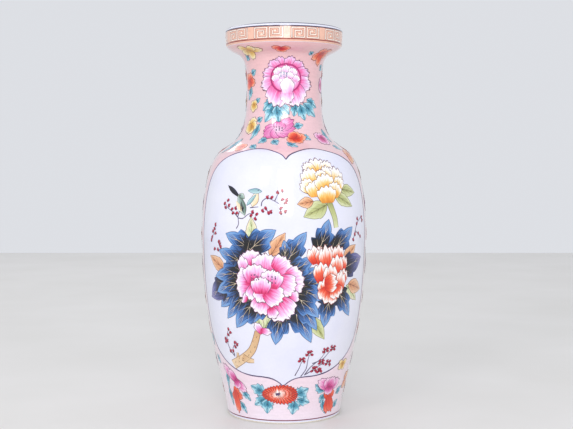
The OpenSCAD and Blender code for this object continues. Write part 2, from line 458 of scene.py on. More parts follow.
# %% [markdown]
# ## The glaze skins
# The outside is glazed from just above the foot ring to the top of the lip, the inside from the
# lip to the floor of the well. Both skins are turned round the axis by one tree, with the mouth
# apart from the body so that the crisp step under the mouth band stays crisp. The foot ring is
# wiped before firing and shows bare clay.

# %% Turning the glaze
LEDGE_HEIGHT = 0.581
GLAZE_DEPTH = -0.38 * MM
BODY_RINGS, MOUTH_RINGS, WELL_RINGS = 215, 52, 260
BODY_COLUMNS, WELL_COLUMNS = 217, 161
ledge = way_at(LEDGE_HEIGHT)
turned("clear_glaze_body", clear_glaze, "outer_glaze", 0.0, ledge, BODY_RINGS, 0.0, GLAZE_DEPTH,
       columns=BODY_COLUMNS, replaces=("outer_glaze",))
turned("clear_glaze_mouth", clear_glaze, "outer_glaze", ledge, TOP_WAY, MOUTH_RINGS, 0.0, GLAZE_DEPTH)
inner_way = float(np.hypot(*np.diff(inner_line, axis=0).T).sum())
turned("clear_glaze_well", clear_glaze, "inner_glaze", 0.0, inner_way, WELL_RINGS, 0.0, GLAZE_DEPTH,
       wall=INSIDE, side=-1.0, columns=WELL_COLUMNS, replaces=("inner_glaze",))


# %% [markdown]
# ## Drawing flat: spots, strokes and sheets
# A motif is drawn in millimetres on flat axes of its own, p to the right and q up, pinned to a spot
# on the wall. A sheet gathers the patches of one colour. Every patch is a small grid, so that it can
# bend with the wall, and each one lies a hair higher than the last, as overlapping paint does.

# %% Spots, sheets and strokes
class Spot:
    """A place on the wall, azimuth in degrees from the front and way in millimetres, with flat axes."""

    def __init__(self, azimuth, way, size=1.0, turn=0.0):
        self.azimuth, self.way, self.size, self.turn = azimuth, way, size, turn

    def lay(self, drawn):
        """Turns flat points in millimetres into azimuth in radians and way in metres."""
        p, q = (np.moveaxis(np.asarray(drawn, float), -1, 0)) * self.size
        turn = math.radians(self.turn)
        across, up = p * math.cos(turn) - q * math.sin(turn), p * math.sin(turn) + q * math.cos(turn)
        way = (self.way + up) * MM
        return np.stack([math.radians(self.azimuth) + across * MM / radius(way), way], -1)

    def near(self, p, q, turn=0.0):
        """Another spot, p and q millimetres away on this one's axes."""
        azimuth, way = self.lay((p, q))
        return Spot(math.degrees(azimuth), way / MM, self.size, self.turn + turn)


class Sheet:
    """Patches of one paint, drawn flat: azimuth, way up the wall and lift."""

    def __init__(self, lift, step=0.0, layers=1):
        self.points, self.faces, self.brush, self.count = [], [], [], 0
        self.first, self.step, self.layers, self.laid = lift, step, layers, 0

    def next_lift(self):
        """The lift of the next patch. Patches climb by a step and start again after some layers."""
        self.laid += 1
        return self.first + self.step * ((self.laid - 1) % self.layers)

    def grid(self, laid, shade, across, tone, lift):
        """Adds one patch from a grid of laid points, and tells how high it lies in millimetres."""
        lift = self.next_lift() if lift is None else lift
        rows, cols = laid.shape[:2]
        index = np.arange(rows * cols).reshape(rows, cols) + self.count
        quads = np.stack([index[:-1, :-1], index[:-1, 1:], index[1:, 1:], index[1:, :-1]], -1)
        a, b = laid[1:, :-1] - laid[:-1, 1:], laid[1:, 1:] - laid[:-1, :-1]
        if (b[..., 0] * a[..., 1] - b[..., 1] * a[..., 0]).sum() < 0:
            quads = quads[..., ::-1]
        self.points.append(np.c_[laid.reshape(-1, 2), np.full(rows * cols, lift * MM)])
        self.faces.append(quads.reshape(-1, 4))
        values = [np.broadcast_to(v, (rows, cols)).ravel() for v in (shade, across, tone)]
        self.brush.append(np.stack(values, -1))
        self.count += rows * cols
        return lift

    def mesh(self, name, turns):
        """The drawing as a mesh, once for each turn in degrees."""
        points, faces = np.vstack(self.points), np.vstack(self.faces)
        brush = np.vstack(self.brush)
        every = [points + (math.radians(turn), 0, 0) for turn in turns]
        lists = [faces + k * len(points) for k in range(len(turns))]
        made = bpy.data.meshes.new(name)
        made.from_pydata(np.vstack(every).tolist(), [], np.vstack(lists).tolist())
        layer = made.attributes.new("brush", "FLOAT_VECTOR", "POINT")
        layer.data.foreach_set("vector", np.tile(brush, (len(turns), 1)).astype(np.float32).ravel())
        return made

    def paint(self, name, material, slot, turns=(0,)):
        """Lays the sheet on the wall as a piece."""
        return run_tree(name, self.mesh(name + "_drawing", turns), LAY_DRAWING, slot, Wall=OUTSIDE,
                        Side=1.0, Turn=0.0, Base=LINE_BASE, Material=material)


LINE_BASE = -0.02 * MM
FRONT_AND_BACK = (0, 180)


def flow(points, step):
    """A smooth path through given points, with a point about every step millimetres."""
    p = np.asarray(points, float)
    if len(p) == 2:
        count = max(2, int(np.hypot(*(p[1] - p[0])) / step) + 1)
        return p[0] + np.linspace(0, 1, count)[:, None] * (p[1] - p[0])
    ends = np.vstack([2 * p[0] - p[1], p, 2 * p[-1] - p[-2]])
    path = []
    for a, b, c, d in zip(ends, ends[1:], ends[2:], ends[3:]):
        count = max(2, int(np.hypot(*(c - b)) / step) + 1)
        t = np.linspace(0, 1, count)[:-1, None]
        path.append(b + 0.5 * t * (c - a + t * (2 * a - 5 * b + 4 * c - d + t * (3 * (b - c) + d - a))))
    return np.vstack(path + [p[-1:]])


def ribbon(sheet, laid, widths, tone=0.5, lift=None):
    """A line of paint along a laid path, with its width at each point in millimetres."""
    scale = np.c_[radius(laid[:, 1]), np.ones(len(laid))]
    heading = np.gradient(laid, axis=0) * scale
    heading /= np.hypot(*heading.T)[:, None] + 1e-12
    side = np.c_[heading[:, 1], -heading[:, 0]] / scale
    u = np.array((-1, 1))
    half = np.broadcast_to(widths, len(laid)) / 2 * MM
    drawn = laid[:, None] + (half[:, None] * u)[..., None] * side[:, None]
    return sheet.grid(drawn, np.linspace(0, 1, len(laid))[:, None], u[None], tone, lift)


def stroke(sheet, spot, points, width, end_width=None, step=1.0, lift=None):
    """One brush stroke along a path, from its width at the start to its width at the end."""
    path = flow(points, step)
    t = np.linspace(0, 1, len(path))
    end_width = width if end_width is None else end_width
    widths = width + (end_width - width) * t
    return ribbon(sheet, spot.lay(path), widths * spot.size, lift=lift)


# %% [markdown]
# ## The blush ground and the two white panels
# The painter grounds the whole vase in blush enamel and leaves two panels white, each shaped like a
# broad heart with a small cusp at its foot. The ground is a single skin with two holes, cut from a
# triangle net whose edges follow the outline, so the outline stays sharp at any distance. A mask in
# the material would be simpler, but it would blur.

# %% The outline of a panel
PANEL_AZIMUTH = 0.6
PANEL_LEAN = 2.2
NET_RADIUS = 0.115
PANEL_SIDE = [(0, 404), (3, 410.5), (9, 415.5), (18, 419.5), (28, 420), (40, 416), (52, 409), (62, 397),
              (68.5, 378), (72, 350), (73.6, 310), (74, 270), (74, 210), (73.6, 160), (71.5, 133),
              (67, 115), (60, 101), (50, 88.5), (39, 80), (28, 76), (17, 75), (10, 73), (4.5, 68), (0, 61)]


def panel_outline():
    """Outline of a panel about its own middle, from its top notch: azimuth in radians and way.
    It leans a little, with its top to the right, as it was drawn freehand."""
    side = np.array([(math.radians(a) * NET_RADIUS, way_at(z * MM)) for a, z in PANEL_SIDE]) / MM
    right = flow(side, 2.0) * MM / (NET_RADIUS, 1)
    loop = np.vstack([right, (right * (-1, 1))[-2:0:-1]])
    height = (loop[:, 1] - loop[:, 1].min()) / np.ptp(loop[:, 1])
    loop[:, 0] += math.radians(PANEL_LEAN) * (height - 0.5)
    return loop


panel = panel_outline()
print(f"panel outline: {len(panel)} points")

# %% Cutting the ground
GROUND_STEP = 3.2 * MM
GROUND_LIFT = 0.09 * MM
CLEARANCE = 0.45 * GROUND_STEP
HALF_TURN = math.pi
foot_line_top = way_at(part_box("foot_line")[1].z)


def inside(points, loop):
    """Which points lie inside a closed loop."""
    x, y = points[:, :1], points[:, 1:]
    x1, y1 = loop.T
    x2, y2 = np.roll(loop, -1, axis=0).T
    crosses = ((y1 > y) != (y2 > y)) & (x < (x2 - x1) * (y - y1) / (y2 - y1 + 1e-30) + x1)
    return crosses.sum(1) % 2 == 1


def ground_net():
    """Triangles over the whole wall, with a hole a quarter turn to each side of the middle."""
    stretch = np.array((NET_RADIUS, 1))
    columns = int(2 * HALF_TURN * NET_RADIUS / GROUND_STEP)
    rows = int((ledge - foot_line_top) / GROUND_STEP)
    across = np.linspace(-HALF_TURN, HALF_TURN, columns + 1)
    up = np.linspace(foot_line_top, ledge, rows + 1)
    points = np.stack(np.meshgrid(across, up), -1).reshape(-1, 2)
    edges, loops = [], [panel - (HALF_TURN / 2, 0), panel + (HALF_TURN / 2, 0)]
    for loop in loops:
        gaps = points[:, None] * stretch - loop[None] * stretch
        clear = np.hypot(gaps[..., 0], gaps[..., 1]).min(1) > CLEARANCE
        points = points[clear & ~inside(points, loop)]
    for loop in loops:
        ring = np.arange(len(loop)) + len(points)
        edges += list(zip(ring.tolist(), np.roll(ring, -1).tolist()))
        points = np.vstack([points, loop])
    flat = [Vector(point) for point in points * stretch]
    corners, _, triangles = delaunay_2d_cdt(flat, edges, [], 0, 1e-7)[:3]
    corners = np.array([tuple(corner) for corner in corners]) / stretch
    triangles = np.array(triangles)
    middles = corners[triangles].mean(1)
    hole = inside(middles, loops[0]) | inside(middles, loops[1])
    return corners, triangles[~hole]


def ground_mesh():
    """The net as a mesh at the height of the ground paint."""
    corners, triangles = ground_net()
    a, b, c = (corners[triangles[:, k]] for k in range(3))
    under = (b[:, 0] - a[:, 0]) * (c[:, 1] - a[:, 1]) < (c[:, 0] - a[:, 0]) * (b[:, 1] - a[:, 1])
    triangles[under] = triangles[under][:, ::-1]
    made = bpy.data.meshes.new("ground_net")
    made.from_pydata(np.c_[corners, np.full(len(corners), GROUND_LIFT)].tolist(), [], triangles.tolist())
    return made


def ground_enamel():
    """Blush enamel: peach at the neck, pink on the body, paler and cooler low down, brushed on."""
    material, tree, surface = shader("blush_enamel", 0.12, coat=1.0, coat_roughness=0.03)
    place = add(tree, "ShaderNodeTexCoord").outputs["Object"]
    height = add(tree, "ShaderNodeMapRange",
                 {"Value": parts_of(tree, place)[2], "From Max": 0.6}).outputs[0]
    cloud = spread(tree, noise(tree, place, 11.0), -0.05, 0.05)
    shade = ramp(tree, calc(tree, "ADD", height, cloud), [
        (0.0, colour(245, 230, 242)), (0.2, colour(244, 218, 228)), (0.5, colour(240, 200, 207)),
        (0.8, colour(239, 199, 205)), (1.0, colour(238, 188, 190))])
    stretched = add(tree, "ShaderNodeMapping", {"Vector": place, "Scale": (1.0, 1.0, 6.0)}).outputs[0]
    brushed = uneven(tree, shade, 0.035, stretched, 55.0)
    tree.links.new(uneven(tree, brushed, 0.03, place, 420.0), surface.inputs["Base Color"])
    tree.links.new(spread(tree, noise(tree, place, 60.0), 0.09, 0.16), surface.inputs["Roughness"])
    relief(tree, surface, place, 22.0, 0.0006)
    return material


blush = ground_enamel()
run_tree("blush_ground", ground_mesh(), LAY_DRAWING, "blush_enamel", Wall=OUTSIDE, Side=1.0,
         Turn=HALF_TURN / 2 + math.radians(PANEL_AZIMUTH), Base=LINE_BASE, Material=blush)

# %% [markdown]
# ## Lines round the vase and round the panels
# A turntable and a loaded brush draw the lines: dark blue on the lip and under it, red-brown at the
# foot of the mouth band, maroon above the foot ring. The panel outlines are drawn freehand in dark
# violet, so their width wavers.

# %% Line enamels
LINE_LIFT = 0.15 * MM
night_blue = enamel("night_blue_line", [(0.0, colour(34, 26, 70)), (1.0, colour(58, 44, 92))])
red_brown = enamel("red_brown_line", [(0.0, colour(150, 52, 44)), (1.0, colour(172, 74, 58))])
maroon = enamel("maroon_line", [(0.0, colour(118, 28, 66)), (1.0, colour(142, 44, 84))])
violet = enamel("violet_line", [(0.0, colour(52, 40, 84)), (1.0, colour(88, 66, 118))])


def ring_line(node, material, slot):
    """A painted line where the frame has one."""
    start, end = (way_at(corner.z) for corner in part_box(node))
    return turned("painted_" + node, material, slot, start, end, 4, LINE_LIFT, LINE_BASE,
                  replaces=(node,))


for node, material, slot in (("rim_line", night_blue, "night_blue_enamel"),
                             ("lip_line", night_blue, "night_blue_enamel"),
                             ("band_edge_line", red_brown, "iron_red_enamel"),
                             ("foot_line", maroon, "iron_red_enamel")):
    ring_line(node, material, slot)

# %% Panel outlines
OUTLINE_WIDTH, OUTLINE_LIFT = 1.7, 0.17
outlines = Sheet(OUTLINE_LIFT)
for middle in (PANEL_AZIMUTH, PANEL_AZIMUTH + 180):
    loop = np.vstack([panel, panel[:1]]) + (math.radians(middle), 0)
    steps = np.arange(len(loop))
    ribbon(outlines, loop, OUTLINE_WIDTH + 0.25 * np.sin(steps * 0.11) + 0.12 * np.sin(steps * 0.37))
outlines.paint("panel_outlines", violet, "night_blue_enamel")

# %% [markdown]
# ## The fret band
# The mouth band carries pairs of square spirals, reserved in pale paint with red-brown edges on a
# peach ground. One key is a handful of straight bars, and a tree repeats it round the band as
# instances, which become real geometry before they are bent to the wall.

# %% A key of the fret
FRET_PAIRS = 10
FRET_FOOT = 0.5815
fret_start, fret_end = (way_at(corner.z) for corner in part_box("fret_band_enamel"))
FRET_MID = (fret_start + fret_end) / 2 / MM
KEY_TURNS = [(-10, -7.2), (-10, 7.2), (10, 7.2), (10, -7.2), (-5, -7.2), (-5, 2.4), (5, 2.4), (5, -2.4),
             (0, -2.4)]


def key_bars(sheet, spot, width):
    """The square spiral as overlapping straight bars, each run on past its corners."""
    for (a, b), (c, d) in zip(KEY_TURNS, KEY_TURNS[1:]):
        run = np.array((c - a, d - b)) / math.hypot(c - a, d - b) * width / 2
        stroke(sheet, spot, [(a - run[0], b - run[1]), (c + run[0], d + run[1])], width, step=4.0)


def fret_tree():
    """Repeats a flat drawing round the wall Count times, then lays it."""
    tree, given, result = new_tree("fret_band", Count=("Int", FRET_PAIRS), **COMMON)
    places = add(tree, "GeometryNodeMeshLine", {"Count": given["Count"]}, mode="OFFSET")
    turn = calc(tree, "DIVIDE", 2 * math.pi, given["Count"])
    tree.links.new(vector_of(tree, turn, 0.0, 0.0), places.inputs["Offset"])
    copies = add(tree, "GeometryNodeInstanceOnPoints",
                 {"Points": places.outputs[0], "Instance": given["Geometry"]}).outputs[0]
    real = add(tree, "GeometryNodeRealizeInstances", {"Geometry": copies}).outputs[0]
    return finish_tree(tree, real, given, result)


# %% Painting the band
FRET_BAND = fret_tree()
PAIR_GAP = 24.0
FIRST_PAIR = -158.8
band_ground = enamel("peach_band", [(0.0, colour(240, 190, 168)), (1.0, colour(244, 204, 186))],
                     mottle=0.07)
fret_edge = enamel("fret_edge_brown", [(0.0, colour(134, 62, 60)), (1.0, colour(172, 96, 84))])
fret_light = enamel("fret_pale_line", [(0.0, colour(255, 246, 236)), (1.0, colour(252, 234, 218))])
turned("fret_ground", band_ground, "fret_enamel", way_at(FRET_FOOT), fret_end, 20, GROUND_LIFT, LINE_BASE,
       replaces=("fret_band_enamel",))
for name, material, lift, width in (("fret_edges", fret_edge, 0.13, 2.9),
                                    ("fret_keys", fret_light, 0.18, 1.5)):
    keys = Sheet(lift)
    for side, turn in ((-1, 0), (1, 180)):
        key_bars(keys, Spot(FIRST_PAIR, FRET_MID).near(side * PAIR_GAP / 2, 0, turn=turn), width)
    run_tree(name, keys.mesh(name + "_pair", (0,)), FRET_BAND, "fret_enamel", Wall=OUTSIDE, Side=1.0,
             Count=FRET_PAIRS, Turn=0.0, Base=LINE_BASE, Material=material)

# %% [markdown]
# ## Petals and leaves as loaded brush strokes
# The painter fills a petal in one or two strokes: a brush loaded with colour at its heel and water
# at its tip is pressed down and turned, so the colour is deep where the petal starts and fades to
# white at its scalloped edge. A leaf is filled in the same way from its heel outwards. Both are
# shapes with a rule: a point is so far along, t from 0 to 1, and so far across, u from -1 to 1.

# %% Shapes with a rule
def frame_of(base, tip):
    """The length from base to tip, with the directions along and across it."""
    reach = np.subtract(tip, base).astype(float)
    length = np.hypot(*reach)
    ahead = reach / length
    return length, ahead, np.array((ahead[1], -ahead[0]))


NECK_SHARE, ROUND_OFF = 0.6, 0.3


def petal_shape(base, edge, width, lobes, frill):
    """A fan from a narrow base to a rounded, scalloped edge."""
    length, ahead, side = frame_of(base, edge)

    def at(t, u):
        half = width / 2 * (NECK_SHARE + (1 - NECK_SHARE) * np.sin(np.minimum(t / 0.7, 1) * np.pi / 2))
        scallops = 1 + frill * np.cos(lobes * np.pi * u) * t ** 3
        forward = length * t * (1 - ROUND_OFF * u * u * t) * scallops
        return np.array(base, float) + forward[..., None] * ahead + (half * u)[..., None] * side
    return at


def leaf_shape(base, tip, width, notch, bend=0.0, lobes=3, heel=0.62):
    """A pointed blade, broad near its heel, with forward lobes. Bend bows its midrib sideways."""
    length, ahead, side = frame_of(base, tip)

    def at(t, u):
        bowed = 4 * bend * t * (1 - t)
        swell = np.sin(np.pi * np.clip(t, 0, 1) ** heel) ** (0.88 + 0.2 * t)
        tooth = 1 + notch * (((t * lobes + 0.2) % 1) - 0.55) * np.abs(u) ** 2.5 * (t < 0.93)
        forward = length * (t + 0.10 * np.abs(u) ** 2 * swell)
        across = width / 2 * swell * tooth * u + bowed
        return np.array(base, float) + forward[..., None] * ahead + across[..., None] * side
    return at


def round_shape(centre, half_across, half_up):
    """An oval, drawn from its bottom to its top."""
    def at(t, u):
        s = 2 * t - 1
        place = np.stack([half_across * u * np.sqrt(np.clip(1 - s * s, 0, 1)), half_up * s + 0 * u], -1)
        return np.array(centre, float) + place
    return at


def fill(sheet, spot, shape, shade, rows=13, cols=7, tone=0.5, lift=None):
    """Fills a shape. Shade is a rule for how far along its run of colours a point is."""
    t, u = np.broadcast_arrays(np.linspace(0, 1, rows)[:, None], np.linspace(-1, 1, cols)[None])
    return sheet.grid(spot.lay(shape(t, u)), shade(t, u), u, tone, lift)


def trace(sheet, spot, shape, legs, width, end_width=None, *, lift, count, tone=0.5):
    """A fine line through places on a shape, each (t, u)."""
    legs = np.array(legs, float)
    k = np.linspace(0, 1, count)
    t = np.interp(k * (len(legs) - 1), np.arange(len(legs)), legs[:, 0])
    u = np.interp(k * (len(legs) - 1), np.arange(len(legs)), legs[:, 1])
    end_width = width if end_width is None else end_width
    ribbon(sheet, spot.lay(shape(t, u)), (width + (end_width - width) * k) * spot.size, tone, lift)


# %% [markdown]
# ## The palette
# Thirty enamels paint the motifs. Each is mixed here once, as its run of colours from the deep end
# of a stroke to the thin end. What is painted later lies higher: leaves first, then petals. A
# fine line is given its own height beside the patch that it belongs to.

# %% Mixing the enamels
PALETTE = {
    "rose": ("rose_enamel", [(0.0, (196, 16, 86)), (0.2, (226, 48, 122)), (0.42, (240, 122, 186)),
                             (0.66, (240, 192, 236)), (0.88, (252, 242, 252))]),
    "coral": ("coral_enamel", [(0.0, (196, 30, 18)), (0.35, (232, 62, 34)), (0.58, (244, 112, 78)),
                               (0.74, (250, 206, 194)), (0.88, (255, 250, 248))]),
    "yellow": ("yellow_enamel", [(0.0, (222, 136, 40)), (0.3, (248, 178, 74)), (0.5, (250, 206, 122)),
                                 (0.68, (252, 236, 204)), (0.82, (255, 252, 249))]),
    "magenta": ("rose_enamel", [(0.0, (150, 16, 92)), (0.35, (210, 50, 136)), (0.7, (234, 140, 196)),
                                (1.0, (250, 218, 238))]),
    "scarlet": ("coral_enamel", [(0.0, (170, 24, 22)), (0.4, (222, 56, 36)), (0.75, (240, 112, 76)),
                                 (1.0, (250, 190, 160))]),
    "mustard": ("yellow_enamel", [(0.0, (178, 112, 28)), (0.4, (224, 172, 64)), (0.75, (244, 214, 140)),
                                  (1.0, (252, 240, 206))]),
    "orange": ("coral_enamel", [(0.0, (196, 88, 30)), (0.5, (232, 130, 62)), (1.0, (248, 200, 150))]),
    "crimson": ("iron_red_enamel", [(0.0, (92, 4, 34)), (0.5, (156, 12, 48)), (1.0, (202, 54, 80))]),
    "blue_leaf": ("cobalt_leaf_enamel", [(0.0, (4, 6, 12)), (0.2, (10, 16, 30)), (0.38, (34, 66, 114)),
                                         (0.6, (64, 114, 182)), (1.0, (126, 172, 226))]),
    "dusk_leaf": ("cobalt_leaf_enamel", [(0.0, (14, 10, 26)), (0.3, (38, 38, 76)), (0.65, (84, 92, 154)),
                                         (1.0, (140, 134, 190))]),
    "teal_leaf": ("turquoise_leaf_enamel", [(0.0, (28, 104, 132)), (0.35, (78, 158, 184)),
                                            (0.7, (140, 200, 220)), (1.0, (206, 236, 242))]),
    "olive_leaf": ("olive_leaf_enamel", [(0.0, (140, 140, 84)), (0.5, (190, 196, 130)),
                                         (1.0, (222, 226, 180))]),
    "amber_leaf": ("bark_enamel", [(0.0, (198, 124, 80)), (0.5, (228, 164, 120)), (1.0, (242, 200, 164))]),
    "pale_leaf": ("olive_leaf_enamel", [(0.0, (190, 204, 142)), (0.6, (220, 228, 182)),
                                        (1.0, (238, 224, 198))]),
    "bark": ("bark_enamel", [(0.0, (214, 170, 124)), (0.5, (230, 194, 150)), (1.0, (240, 212, 176))]),
    "ink": ("night_blue_enamel", [(0.0, (8, 8, 14)), (1.0, (30, 34, 52))]),
    "plum_line": ("night_blue_enamel", [(0.0, (84, 22, 66)), (1.0, (116, 44, 92))]),
    "red_line": ("iron_red_enamel", [(0.0, (122, 18, 22)), (1.0, (160, 38, 34))]),
    "navy_line": ("night_blue_enamel", [(0.0, (6, 16, 50)), (1.0, (18, 42, 104))]),
    "brown_line": ("bark_enamel", [(0.0, (104, 58, 40)), (1.0, (142, 88, 58))]),
    "olive_line": ("olive_leaf_enamel", [(0.0, (96, 92, 46)), (1.0, (128, 124, 72))]),
    "cream_line": ("yellow_enamel", [(0.0, (232, 214, 186)), (1.0, (196, 170, 140))]),
    "teal_line": ("turquoise_leaf_enamel", [(0.0, (8, 60, 84)), (1.0, (20, 92, 118))]),
    "twig": ("night_blue_enamel", [(0.0, (78, 62, 96)), (1.0, (112, 96, 132))]),
    "berry": ("iron_red_enamel", [(0.0, (92, 6, 38)), (0.5, (166, 16, 52)), (1.0, (206, 56, 80))]),
    "anther": ("night_blue_enamel", [(0.0, (60, 30, 70)), (1.0, (104, 74, 120))]),
    "grey_blue": ("night_blue_enamel", [(0.0, (84, 92, 132)), (0.5, (132, 142, 178)),
                                        (1.0, (196, 202, 224))]),
    "bird_grey": ("olive_leaf_enamel", [(0.0, (84, 112, 104)), (0.5, (146, 172, 162)),
                                        (1.0, (204, 220, 214))]),
    "bird_cream": ("yellow_enamel", [(0.0, (240, 214, 166)), (1.0, (252, 244, 226))]),
    "bird_teal": ("turquoise_leaf_enamel", [(0.0, (126, 172, 184)), (1.0, (190, 220, 224))]),
}
LEAF_LIFT, LEAF_STEP, LEAF_LAYERS = 0.24, 0.03, 5
LOW_LEAF_LIFT, LOW_LEAF_STEP = 0.12, 0.022
PETAL_LIFT, PETAL_STEP, PETAL_LAYERS = 0.44, 0.024, 40
TWIG_LIFT = 0.19
sheets = {paint: Sheet(PETAL_LIFT, PETAL_STEP, PETAL_LAYERS) for paint in PALETTE}
for paint in ("blue_leaf", "dusk_leaf", "teal_leaf"):
    sheets[paint] = Sheet(LEAF_LIFT, LEAF_STEP, LEAF_LAYERS)
for paint in ("pale_leaf", "olive_leaf", "amber_leaf", "bark"):
    sheets[paint] = Sheet(LOW_LEAF_LIFT, LOW_LEAF_STEP, LEAF_LAYERS)
sheets["twig"] = Sheet(TWIG_LIFT)
print("enamels:", len(PALETTE))


# %% Leaves
def heel_shade(t, u):
    """Almost black at the heel and along the midrib, light at the margins and the tip."""
    return np.clip(1.45 * t - 0.5 + 0.38 * np.abs(u) ** 1.4, 0, 1)


def margin_shade(t, u):
    """Deep along the midrib and light at both margins."""
    return np.clip(0.15 + 0.7 * np.abs(u) + 0.25 * t, 0, 1)


LARGE_LEAF = 22


def rim_of(places):
    """Both edges of a leaf as one path, up the left side and back down the right."""
    up = np.linspace(0, 0.99, places)
    return [(k, -1) for k in up] + [(k, 1) for k in up[::-1]]


def leaf(paint, spot, base, tip, width, line, rim, bend=0.0, lobes=3, notch=0.3, veins=3, vein=0.6,
         edge=1.3, shade=heel_shade):
    """A filled leaf with its rim, its midrib and its side veins."""
    shape = leaf_shape(base, tip, width, notch, bend, lobes)
    tone = rng.random()
    rows, cols, rim_count = (25, 11, 73) if width > LARGE_LEAF else (19, 7, 49)
    lift = fill(sheets[paint], spot, shape, shade, rows, cols, tone)
    trace(sheets[rim], spot, shape, rim_of(13), edge, lift=lift - 0.01, tone=tone, count=rim_count)
    midrib = [(0.0, 0), (0.93, 0)]
    trace(sheets[line], spot, shape, midrib, vein * 1.5, vein * 0.4, lift=lift + 0.02, count=21)
    for k in range(veins):
        t = 0.08 + 0.55 * k / max(veins - 1, 1)
        for side in (-1, 1):
            trace(sheets[line], spot, shape, [(t, 0), (t + 0.15, 0.34 * side), (t + 0.24, 0.66 * side)],
                  vein * 0.9, vein * 0.25, lift=lift + 0.02, count=9)


def between(a, b):
    """A spot at a, and the flat way from it to b. Both are (azimuth, way) on the wall."""
    mean = radius((a[1] + b[1]) / 2 * MM) / MM
    return Spot(*a), (math.radians(b[0] - a[0]) * mean, b[1] - a[1])


# %% Petals and flowers
def fade(low=0.0, high=1.0):
    """Colour running out from the base of a petal to its edge."""
    return lambda t, u: low + (high - low) * np.clip(t + 0.12 * u * u, 0, 1)


def petal(paint, line, spot, base, edge, width, lobes=4, frill=0.06, ticks=0, outline=0.7,
          shade=fade(), tuck=0.12, lift=None):
    """A petal with a fine outline, and short ticks in the dips of its edge. Its base is tucked in
    under what is laid after it."""
    base = np.subtract(base, tuck * np.subtract(edge, base))
    shape = petal_shape(base, edge, width, lobes, frill)
    lift = fill(sheets[paint], spot, shape, shade, rows=13 if width > 13 else 7, cols=4 * lobes + 1,
                tone=rng.random(), lift=lift)
    border = ([(k, -1) for k in np.linspace(0.1, 1, 5)] + [(1, k) for k in np.linspace(-0.9, 0.9, 19)]
              + [(k, 1) for k in np.linspace(1, 0.1, 5)])
    trace(sheets[line], spot, shape, border, outline * 2, lift=lift - 0.008, count=9 + 10 * lobes)
    for k in range(ticks):
        u = (2 * (k + 0.5) / ticks - 1) * 0.85 + rng.uniform(-0.08, 0.08)
        trace(sheets[line], spot, shape, [(0.995, u), (0.99 - rng.uniform(0.06, 0.12), u)], outline * 2.2,
              0.3, lift=lift + 0.01, count=4)


def new_flower(paint):
    """Petals climb as they overlap. A new flower starts again at the lowest height."""
    sheets[paint].laid = 0


DOTS = {"berry": [], "anther": [], "grey_blue": []}


def dots(spot, places, size, kind):
    """Round dots of paint, kept for the tree that scatters them."""
    for place in places:
        azimuth, way = spot.lay(place)
        DOTS[kind].append((azimuth, way, size * spot.size * MM))

# %% [markdown]
# ## The great rose peony
# The heart of each panel is a full peony seen a little from above. Its petals were laid one by one,
# the far ones first, round two cups of stamens. A ring of equal petals would look like a rosette, so
# each petal here has its own place: where it starts, where it ends and how broad it is. Fullness
# widens them all, so that neighbours overlap.

# %% Rose peony
ROSE_FULLNESS = 1.18
ROSE = Spot(-10, 221)
ROSE_PETALS = [
    ((-25, 26), (-33, 48), 28), ((-6, 16), (-5, 44), 34), ((12, 20), (31, 34), 30),
    ((-37, 14), (-44, 40), 14), ((-31, 0), (-52, 1), 38), ((28, 4), (52, 8), 34),
    ((31, -20), (43, -14), 18), ((-33, -22), (-40, -18), 20), ((15, 2), (38, -10), 32),
    ((-20, -6), (-25, -27), 24), ((-8, -24), (-14, -46), 30), ((12, -28), (29, -52), 36),
    ((2, -38), (9, -52), 14), ((-8, -10), (-17, -28), 20), ((-2, -12), (19, -26), 28),
    ((-21, 3), (-22, 28), 32), ((3, -4), (7, 20), 28), ((-12, -13), (-12, 9), 26),
]
for base, edge, width in ROSE_PETALS:
    petal("rose", "plum_line", ROSE, base, edge, width * ROSE_FULLNESS, 4 if width > 20 else 2, ticks=3)
dots(ROSE, [(-21 + 6 * math.sin(k * 2.4), 9 + 4 * math.cos(k * 1.7)) for k in range(11)], 1.0, "anther")
dots(ROSE, [(5 + 6 * math.sin(k * 2.1), 6 + 5 * math.cos(k * 1.3)) for k in range(13)], 1.0, "anther")
print("rose peony:", len(ROSE_PETALS), "petals")

# %% [markdown]
# ## The coral peony and the yellow peony
# Two smaller flowers stand behind the great one. The coral one is a tight head whose white edges
# turn outwards, and the yellow one nods on a thick olive stem.

# %% Coral and yellow peonies
CORAL_FULLNESS, YELLOW_FULLNESS = 1.08, 1.1
CORAL = Spot(32, 235)
CORAL_PETALS = [
    ((-22, 18), (-28, 40), 24), ((-16, 16), (-16, 38), 16), ((1, 20), (2, 39), 16),
    ((-5, 8), (-9, 40), 22), ((14, 16), (16, 40), 21), ((24, 4), (27, 24), 16),
    ((-13, -10), (-16, 15), 24), ((13, -3), (13, 25), 23), ((24, -16), (28, 4), 18),
    ((18, -28), (23, 0), 20), ((2, -16), (1, 11), 23), ((-2, -28), (-8, -8), 28),
    ((2, -26), (-6, -44), 34), ((10, -22), (18, -37), 24), ((-6, -16), (14, -14), 26),
]
for base, edge, width in CORAL_PETALS:
    petal("coral", "red_line", CORAL, base, edge, width * CORAL_FULLNESS, lobes=3, frill=0.1, ticks=2,
          outline=0.6)
YELLOW = Spot(29, 376)
YELLOW_PETALS = [
    ((-8, 6), (-8, 32), 32), ((-16, 10), (-28, 24), 18), ((4, 8), (12, 28), 20),
    ((-20, -8), (-23, 16), 26), ((-22, -16), (-35, -3), 20), ((19, -10), (22, 18), 30),
    ((22, -14), (34, 2), 18), ((4, -3), (6, 20), 18), ((-3, 0), (-5, 14), 16),
    ((-15, -24), (-17, -4), 26), ((3, -16), (-1, 7), 30), ((16, -24), (23, -6), 22),
    ((4, -33), (3, -11), 30),
]
